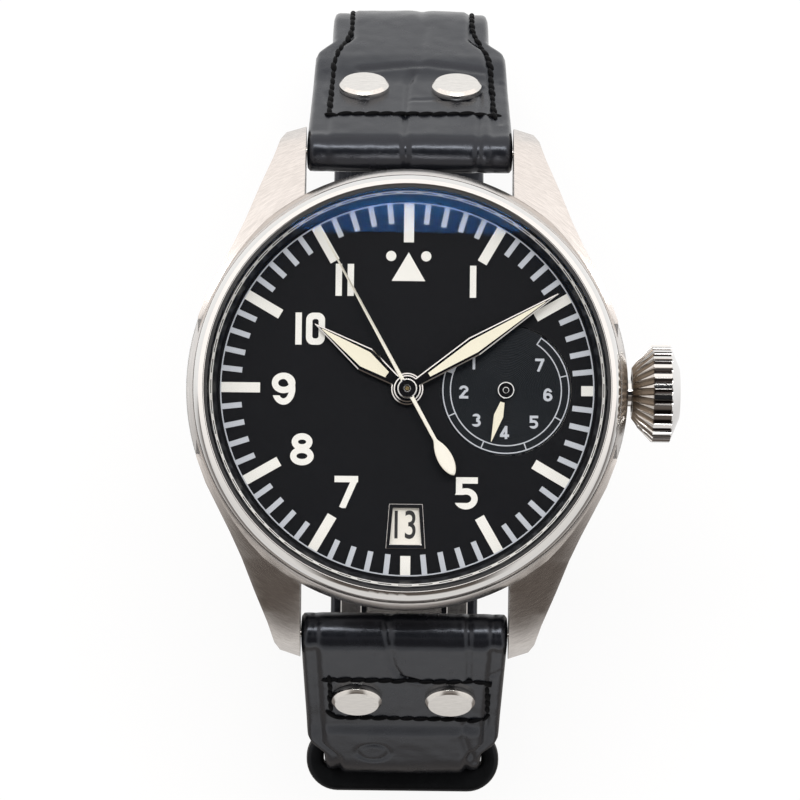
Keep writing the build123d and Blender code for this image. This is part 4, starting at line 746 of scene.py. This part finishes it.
def makeStrap(key):
    half = strapHalves[key]
    band = Band(half)
    side, rounding = half["side"], strap["backRound"]
    share = np.linspace(-1, 1, strap["across"] + 1)
    points = []
    for k, s in enumerate(band.length):
        width = band.width[k]
        x = share * width
        height = relief(half, x, np.full(x.shape, s), np.full(x.shape, width))
        tubeShare = float(smoothStep(np.array(-s / strap["tubeBlend"])))
        backNormal = band.outerNormal[0] if k == 0 else band.innerNormal[k]
        front, back = [], []
        for place, lift in zip(x, height):
            lift = lift + waves(half, place, s)
            spot = band.outer[k] + band.outerNormal[k] * lift
            front.append((place, side * spot.x, spot.y))
            edge = min(max(rounding - (width - abs(place)), 0), rounding)
            plain = -(rounding - sqrt(rounding * rounding - edge * edge))
            spot = band.inner[k] + backNormal * (lift * tubeShare + plain * (1 - tubeShare))
            back.append((place, side * spot.x, spot.y))
        back.reverse()
        bulge = strap["edgeBulge"] * (1 - tubeShare)
        points += front + wallPoints(front[-1], back[0], bulge)
        points += back + wallPoints(back[-1], front[0], -bulge)
    rings = len(band.length)
    size = len(points) // rings
    faces = ringFaces(rings, size)
    faces.append(tuple(range(len(points) - size, len(points))))
    return solidFrom("leather_" + key, points, faces, "strapLeather"), band


def cutFrom(piece, cutter):
    cut = piece.modifiers.new("cut", "BOOLEAN")
    cut.operation = "DIFFERENCE"
    cut.solver = "MANIFOLD"
    cut.object = cutter
    name = piece.name
    piece.name = name + "_uncut"
    made = plainMesh(piece, name)
    bpy.data.objects.remove(cutter)
    return made


def uprightCutter(outlines, low, high):
    points, faces = [], []
    for outline in outlines:
        first, size = len(points), len(outline)
        points += [(x, y, z) for z in (low, high) for x, y in outline]
        faces += ringFaces(2, size, first)
        faces += [tuple(range(start, start + size)) for start in (first, first + size)]
    return solidFrom("cutter", points, faces, "strapLeather", False)


def tailHole(k):
    turns = [2 * pi * step / tailHoles["sides"] for step in range(tailHoles["sides"])]
    middle = Vector((0.0, tailHoles["firstY"] + tailHoles["pitch"] * k))
    return [middle + toward(turn) * tailHoles["radius"] for turn in turns]


pinNotch = {"outline": [(-4.5, 22.0), (4.5, 22.0), (4.5, 28.4), (-4.5, 28.4)], "low": -45.0,
            "high": -37.0}
tailHoles = {"radius": 0.85, "firstY": -11.0, "pitch": 6.0, "count": 5, "sides": 28, "low": -45.0,
             "high": -38.0}

upperLeather, upperBand = makeStrap("upper")
notchCutter = uprightCutter([pinNotch["outline"]], pinNotch["low"], pinNotch["high"])
upperLeather = cutFrom(upperLeather, notchCutter)
lowerLeather, lowerBand = makeStrap("lower")
holes = [tailHole(k) for k in range(tailHoles["count"])]
lowerLeather = cutFrom(lowerLeather, uprightCutter(holes, tailHoles["low"], tailHoles["high"]))
print("strap halves made, faces:", len(upperLeather.data.polygons), len(lowerLeather.data.polygons))


# Stitches: short thick threads laid along a line on the leather

stitch = {
    "pitch": 1.45, "length": 1.85, "radius": 0.29, "slant": 9.0, "lift": 0.02, "seed": 5,
    "wobble": (0.6, 1.4), "fat": (0.88, 1.12),
}
stitchInputs = {"Pitch": "Float", "Length": "Float", "Radius": "Float", "Slant": "Float",
                "Seed": "Int", "Thread": "Material"}


def stitchTree():
    tree = bpy.data.node_groups.new("stitchRun", "GeometryNodeTree")
    tree.is_modifier = True
    face = tree.interface
    face.new_socket("Geometry", in_out="INPUT", socket_type="NodeSocketGeometry")
    for name, kind in stitchInputs.items():
        face.new_socket(name, in_out="INPUT", socket_type="NodeSocket" + kind)
    face.new_socket("Geometry", in_out="OUTPUT", socket_type="NodeSocketGeometry")
    sheet = Sheet(tree)
    names = ("Geometry", *stitchInputs)
    given = dict(zip(names, sheet.add("NodeGroupInput", out=names)))

    def randomly(low, high):
        sockets = {2: low, 3: high, "Seed": given["Seed"]}
        return sheet.add("FunctionNodeRandomValue", sockets, 1, data_type="FLOAT")

    curve = sheet.add("GeometryNodeMeshToCurve", {0: given["Geometry"]})
    sockets = {"Curve": curve, "Length": given["Pitch"]}
    spaced = sheet.add("GeometryNodeResampleCurve", sockets, mode="LENGTH")
    ball = sheet.add("GeometryNodeMeshUVSphere", {"Segments": 10, "Rings": 7, "Radius": 1.0})
    size = sheet.vector(given["Length"] * 0.5, given["Radius"], given["Radius"])
    thread = sheet.add("GeometryNodeTransform", {"Geometry": ball, "Scale": size})
    tangent = sheet.add("GeometryNodeInputTangent")
    up = sheet.add("GeometryNodeInputNamedAttribute", {"Name": "up"}, data_type="FLOAT_VECTOR")
    first = sheet.add("FunctionNodeAlignRotationToVector", {"Vector": tangent}, axis="X")
    second = sheet.add("FunctionNodeAlignRotationToVector", {"Rotation": first, "Vector": up},
                       axis="Z", pivot_axis="X")
    turn = sheet.vector(0.0, 0.0, given["Slant"] * randomly(*stitch["wobble"]))
    spin = sheet.add("FunctionNodeEulerToRotation", {0: turn})
    third = sheet.add("FunctionNodeRotateRotation", {0: second, 1: spin}, rotation_space="LOCAL")
    placed = sheet.add("GeometryNodeInstanceOnPoints", {
        "Points": spaced, "Instance": thread, "Rotation": third, "Scale": randomly(*stitch["fat"])})
    real = sheet.add("GeometryNodeRealizeInstances", {0: placed})
    smooth = sheet.add("GeometryNodeSetShadeSmooth", {0: real})
    done = sheet.add("GeometryNodeSetMaterial", {"Geometry": smooth, "Material": given["Thread"]})
    sheet.add("NodeGroupOutput", {0: done})
    return tree


def seamLine(band, route, spacing=0.4):
    # A route of (x, s) corners, laid on the leather in short steps
    spots = []
    for (x0, s0), (x1, s1) in zip(route, route[1:]):
        steps = max(int(hypot(x1 - x0, s1 - s0) / spacing), 1)
        shares = [step / steps for step in range(steps)]
        spots += [(x0 + (x1 - x0) * part, s0 + (s1 - s0) * part) for part in shares]
    return zip(*(band.onLeather(x, s, stitch["lift"]) for x, s in spots + [route[-1]]))


def edgeRoute(band, side, inset, fromS, toS, spacing=1.0):
    count = int((toS - fromS) / spacing)
    route = []
    for step in range(count + 1):
        s = fromS + (toS - fromS) * step / count
        nearby = [s + shift for shift in seams["smoothing"]]
        width = float(np.interp(nearby, band.length, band.width).mean())
        route.append((side * (width - inset), s))
    return route


def makeStitches(name, band, routes, body):
    mesh = bpy.data.meshes.new(name)
    points, edges, ups = [], [], []
    for route in routes:
        places, normals = seamLine(band, route)
        edges += [(len(points) + k, len(points) + k + 1) for k in range(len(places) - 1)]
        points += [tuple(part * mm for part in place) for place in places]
        ups += normals
    mesh.from_pydata(points, edges, [])
    attribute = mesh.attributes.new("up", "FLOAT_VECTOR", "POINT")
    attribute.data.foreach_set("vector", [part for up in ups for part in up])
    run = inScene(name + "_run", mesh)
    sew = run.modifiers.new("sew", "NODES")
    sew.node_group = stitches
    values = {name: stitch[name.lower()] * mm for name in ("Pitch", "Length", "Radius")}
    values |= {"Slant": radians(stitch["slant"]), "Seed": stitch["seed"],
               "Thread": finishes["thread"]}
    for item in stitches.interface.items_tree:
        if item.in_out == "INPUT" and item.name in values:
            sew[item.identifier] = values[item.name]
    made = plainMesh(run, name)
    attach(made, body)


seams = {
    "leftInset": 2.1, "leftFrom": 4.5, "rightInset": 1.75, "rightFrom": 4.9, "corner": (8.9, 4.9),
    "endBefore": 16,  # stations before the upper half's end
    "smoothing": (-3.0, -1.5, 0.0, 1.5, 3.0),  # the seam cuts the shoulder's corner
    "lower": [(-7.9, 6.0), (8.9, 6.3), (9.1, 14.4), (-7.8, 14.0), (-7.9, 6.0)],
}

stitches = stitchTree()
lastUpper = float(upperBand.length[-seams["endBefore"]])
leftSeam = edgeRoute(upperBand, -1, seams["leftInset"], seams["leftFrom"], lastUpper)
rightSeam = edgeRoute(upperBand, 1, seams["rightInset"], seams["rightFrom"], lastUpper)
upperSeams = [leftSeam[::-1] + [seams["corner"]], rightSeam]
makeStitches("thread_upper", upperBand, upperSeams, "strap_upper")
makeStitches("thread_lower", lowerBand, [seams["lower"]], "strap_lower")
print("stitches made")


# The keeper: a closed leather loop round the lower half

keeper = {"wall": 1.75, "frontExtra": 0.9, "cornerRadius": 3.6, "frontGrow": 0.5, "roundSteps": 12,
          "flatSteps": 20, "bulge": 0.16, "edge": 0.42}


def keeperSection(height):
    # Points (depth, up) round the wall's section: rounded corners, flat inside, bulging outside
    wall, edge = keeper["wall"], keeper["edge"]
    ring = []
    for sideSign, upSign, startTurn in ((1, 1, 0), (-1, 1, 90), (-1, -1, 180), (1, -1, 270)):
        for step in range(5):
            turn = radians(startTurn + 90 * step / 4)
            depth = -wall / 2 + sideSign * (wall / 2 - edge) + edge * cos(turn)
            ring.append((depth, upSign * (height / 2 - edge) + edge * sin(turn)))
        if upSign == 1 and sideSign == -1:
            ring += [(-wall, height / 2 * part) for part in (0.5, 0.0, -0.5)]
        if upSign == -1 and sideSign == 1:
            ring += [(keeper["bulge"] * (1 - part * part), height / 2 * part)
                     for part in (-0.6, -0.3, 0.0, 0.3, 0.6)]
    return ring


def makeKeeper():
    low, high = (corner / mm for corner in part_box("keeper"))
    low.y -= keeper["frontGrow"]
    centreY, halfY = (low.y + high.y) / 2, (high.y - low.y) / 2
    halfX = high.x + keeper["frontGrow"] / 2
    radius = min(keeper["cornerRadius"], halfY - 0.1)
    corners = [Vector((x * (halfX - radius), y * (halfY - radius)))
               for x, y in ((1, 1), (-1, 1), (-1, -1), (1, -1))]
    route = []
    for quarter, corner in enumerate(corners):
        for step in range(keeper["roundSteps"] + 1):
            normal = toward(pi / 2 * (quarter + step / keeper["roundSteps"]))
            route.append((corner + normal * radius, normal))
        for step in range(1, keeper["flatSteps"]):
            flat = corner.lerp(corners[(quarter + 1) % 4], step / keeper["flatSteps"])
            route.append((flat + normal * radius, normal))
    section = keeperSection(high.z - low.z)
    middle = (low.z + high.z) / 2
    points = []
    for place, normal in route:
        inward = 1 + keeper["frontExtra"] / keeper["wall"] * max(0.0, -normal.y) ** 2
        for depth, up in section:
            spot = place + normal * (depth * inward if depth < 0 else depth)
            points.append((spot.x, centreY + spot.y, middle + up))
    faces = ringFaces(len(route), len(section), closed=True)
    return solidFrom("leather_keeper", points, faces, "keeperLeather")


keeperLoop = makeKeeper()
for piece, body, node, slotName in ((upperLeather, "strap_upper", "strap_upper", "black_leather"),
                                    (lowerLeather, "strap_lower", "strap_lower", "black_leather"),
                                    (keeperLoop, "keeper", "keeper", "keeper_leather")):
    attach(piece, body)
    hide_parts(node)
print("keeper made")


# Polished rims along the hands' outlines: each is a narrow strip sloping outward

handRim = {"width": 0.11, "rise": 0.045, "fall": 0.005, "reach": 2.2, "overhang": 0.01}


def outlineLoop(thing):
    # The outer edge of the top face, as points in order, anticlockwise
    work = bmesh.new()
    work.from_mesh(thing.data)
    bmesh.ops.remove_doubles(work, verts=work.verts, dist=0.001 * mm)
    top = max(spot.co.z for spot in work.verts)
    level = top - 0.002 * mm
    upper = {face for face in work.faces if all(spot.co.z > level for spot in face.verts)}
    links = {}
    for edge in work.edges:
        if sum(face in upper for face in edge.link_faces) == 1:
            for first, second in (edge.verts, reversed(edge.verts)):
                links.setdefault(first, []).append(second)
    loops = []
    waiting = set(links)
    while waiting:
        start = waiting.pop()
        loop = [start]
        spot, before = links[start][0], start
        while spot is not start:
            waiting.discard(spot)
            loop.append(spot)
            ahead = [other for other in links[spot] if other is not before]
            spot, before = ahead[0], spot
        loops.append([point.co / mm for point in loop])
    work.free()
    loop = max(loops, key=lambda points: max(p.x for p in points) - min(p.x for p in points))
    area = sum(a.x * b.y - b.x * a.y for a, b in zip(loop, loop[1:] + loop[:1]))
    return loop if area > 0 else loop[::-1]


def makeHandRim(nodeName, body):
    loop = outlineLoop(nodes[nodeName])
    count = len(loop)
    points = []
    for k, spot in enumerate(loop):
        back = (spot - loop[k - 1]).to_2d().normalized()
        ahead = (loop[(k + 1) % count] - spot).to_2d().normalized()
        inward = Vector((-back.y - ahead.y, back.x + ahead.x)).normalized()
        reach = min(1 / max(inward.dot(Vector((-ahead.y, ahead.x))), 0.1), handRim["reach"])
        inner = spot.to_2d() + inward * handRim["width"] * reach
        outer = spot.to_2d() - inward * handRim["overhang"]
        points += [(*outer, spot.z - handRim["fall"]), (*inner, spot.z + handRim["rise"]),
                   (*inner, spot.z - handRim["fall"])]
    faces = ringFaces(count, 3, closed=True)
    rim = solidFrom("rim_" + nodeName, points, faces, "polishedSteel", False)
    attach(rim, body)


makeHandRim("hour_hand", "hour")
makeHandRim("minute_hand", "minute")
print("hand rims made")


# Date numbers, printed on the date ring

dates = {"count": 31, "shown": 13, "radius": 14.3, "height": 3.0, "capShare": 0.72, "squeeze": 0.72,
         "shift": -0.25, "weight": 0.03, "thickness": 0.02}


def makeDateNumbers():
    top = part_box("date_ring")[1].z
    offset = (dates["shift"] * mm, -dates["radius"] * mm, top)
    narrow = Matrix.Diagonal((dates["squeeze"], 1, 1, 1))
    work = bmesh.new()
    for number in range(1, dates["count"] + 1):
        text = bpy.data.curves.new("number", "FONT")
        text.body = str(number)
        text.align_x = text.align_y = "CENTER"
        text.size = dates["height"] * mm / dates["capShare"]
        text.extrude = dates["thickness"] * mm / 2
        text.offset = dates["weight"] * mm
        mesh = plainMesh(inScene("number", text), "numberMesh")
        turn = 2 * pi * (number - dates["shown"]) / dates["count"]
        mesh.data.transform(Matrix.Rotation(turn, 4, "Z") @ Matrix.Translation(offset) @ narrow)
        work.from_mesh(mesh.data)
        bpy.data.objects.remove(mesh)
    bmesh.ops.remove_doubles(work, verts=work.verts, dist=1e-7)
    bmesh.ops.recalc_face_normals(work, faces=work.faces)
    mesh = bpy.data.meshes.new("date_numbers")
    work.to_mesh(mesh)
    work.free()
    mesh.materials.append(finishes["dateInk"])
    numbers = inScene("date_numbers", mesh)
    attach(numbers, "date")


makeDateNumbers()
print("date numbers made")


# Floor, world, lights and camera

# In polished metal the floor is white far off, dark in a strip before the watch, grey beyond it
stage = {
    "floorHalf": 1500.0, "shadowShare": 0.12, "floorTone": (0.93, 0.93, 0.93, 1),
    "stripTone": (0.10, 0.082, 0.072, 1), "beyondTone": (0.76, 0.75, 0.74, 1),
    "stripFrom": (-98, -84), "stripTo": (-55, 20),
}


def makeFloor():
    sheet = newFinish("paleFloor")
    rayNames = ("Is Camera Ray", "Is Glossy Ray", "Is Transmission Ray")
    camera, glossy, through = sheet.add("LightPath", out=rayNames)
    seen = sheet.maths("MAXIMUM", camera, sheet.maths("MAXIMUM", glossy, through))
    matt = sheet.add("BsdfDiffuse", {"Color": stage["floorTone"]})
    y = sheet.parts(sheet.place())[1]
    near = sheet.mix(sheet.falling(y, *stage["stripFrom"]), stage["stripTone"], stage["beyondTone"])
    white = sheet.maths("MAXIMUM", camera, sheet.rising(y, *stage["stripTo"]))
    mirrored = sheet.mix(white, near, (1, 1, 1, 1))
    glow = sheet.add("Emission", {"Color": mirrored, "Strength": 1.0})
    mixed = sheet.add("MixShader", {0: seen * (1 - stage["shadowShare"]), 1: matt, 2: glow})
    sheet.add("OutputMaterial", {"Surface": mixed})
    low, half = cadBox[0].z / mm, stage["floorHalf"]
    points = [(-half, -half, low), (half, -half, low), (half, half, low), (-half, half, low)]
    floor = solidFrom("floor", points, [(0, 1, 2, 3)], "paleFloor", False)


# What polished metal mirrors: light far walls, a near side that is dark in the middle and light
# at both sides and close to the horizon, and a dark round opening straight above
sky = {
    "top": (0.02, 0.02, 0.022, 1), "far": (1.28, 1.22, 1.18, 1), "near": (0.11, 0.092, 0.08, 1),
    "nearSides": (0.82, 0.80, 0.78, 1), "farFrom": (-0.62, 0.2), "opening": (0.925, 0.955),
    "sidesFrom": (0.30, 0.56), "horizon": (0.10, 0.34),
}


def makeWorld():
    world = bpy.data.worlds.new("studio")
    bpy.context.scene.world = world
    sheet = nodesOf(world)
    x, y, z = sheet.parts(sheet.add("TexCoord", out="Generated"))
    offCard = sheet.fitted(sheet.maths("ABSOLUTE", x), *sky["sidesFrom"])
    overCard = sheet.fitted(z, *sky["horizon"], 1.0, 0.0)
    near = sheet.mix(sheet.maths("MAXIMUM", offCard, overCard), sky["near"], sky["nearSides"])
    walls = sheet.mix(sheet.fitted(y, *sky["farFrom"]), near, sky["far"])
    mirrored = sheet.mix(sheet.fitted(z, *sky["opening"]), walls, sky["top"])
    camera = sheet.add("LightPath", out="Is Camera Ray")
    colour = sheet.mix(camera, mirrored, (1, 1, 1, 1))
    back = sheet.add("Background", {"Color": colour, "Strength": 1.0})
    sheet.add("OutputWorld", {"Surface": back})


softboxes = table(("place", "size", "power", "mirrored"), {
    "fillBox": ((0, 0, 1100.0), (660.0, 660.0), 2.0, False),  # lights only the matt paints
    "crescentBox": ((0, 371.25, 900.0), (648.0, 157.5), 3.85, True),
})


def makeLights():
    for name, values in softboxes.items():
        light = bpy.data.lights.new(name, "AREA")
        light.shape = "RECTANGLE"
        light.size, light.size_y = (side * mm for side in values["size"])
        light.energy = values["power"]
        lamp = inScene(name, light)
        lamp.visible_glossy = values["mirrored"]
        lamp.location = [part * mm for part in values["place"]]


view = {"aim": (-0.74, -1.13, 10.0), "distance": 450.0, "tilt": 2.3, "roll": 0.66, "lens": 194.0,
        "sensor": 36.0, "clipStart": 10.0}


def makeCamera():
    tilt, roll = radians(view["tilt"]), radians(view["roll"])
    back = Vector((0, -sin(tilt), cos(tilt)))
    level = Vector((0, cos(tilt), sin(tilt)))
    right = Vector((1, 0, 0)) * cos(roll) + level * sin(roll)
    up = back.cross(right)
    eye = (Vector(view["aim"]) + back * view["distance"]) * mm
    data = bpy.data.cameras.new("camera")
    data.sensor_width = view["sensor"]
    data.lens = view["lens"]
    data.clip_start = view["clipStart"] * mm
    camera = inScene("camera", data)
    camera.matrix_world = Matrix.Translation(eye) @ Matrix((right, up, back)).transposed().to_4x4()
    bpy.context.scene.camera = camera


makeFloor()
makeWorld()
makeLights()
makeCamera()
bpy.context.scene.view_settings.view_transform = "Standard"
print("stage, lights and camera made")
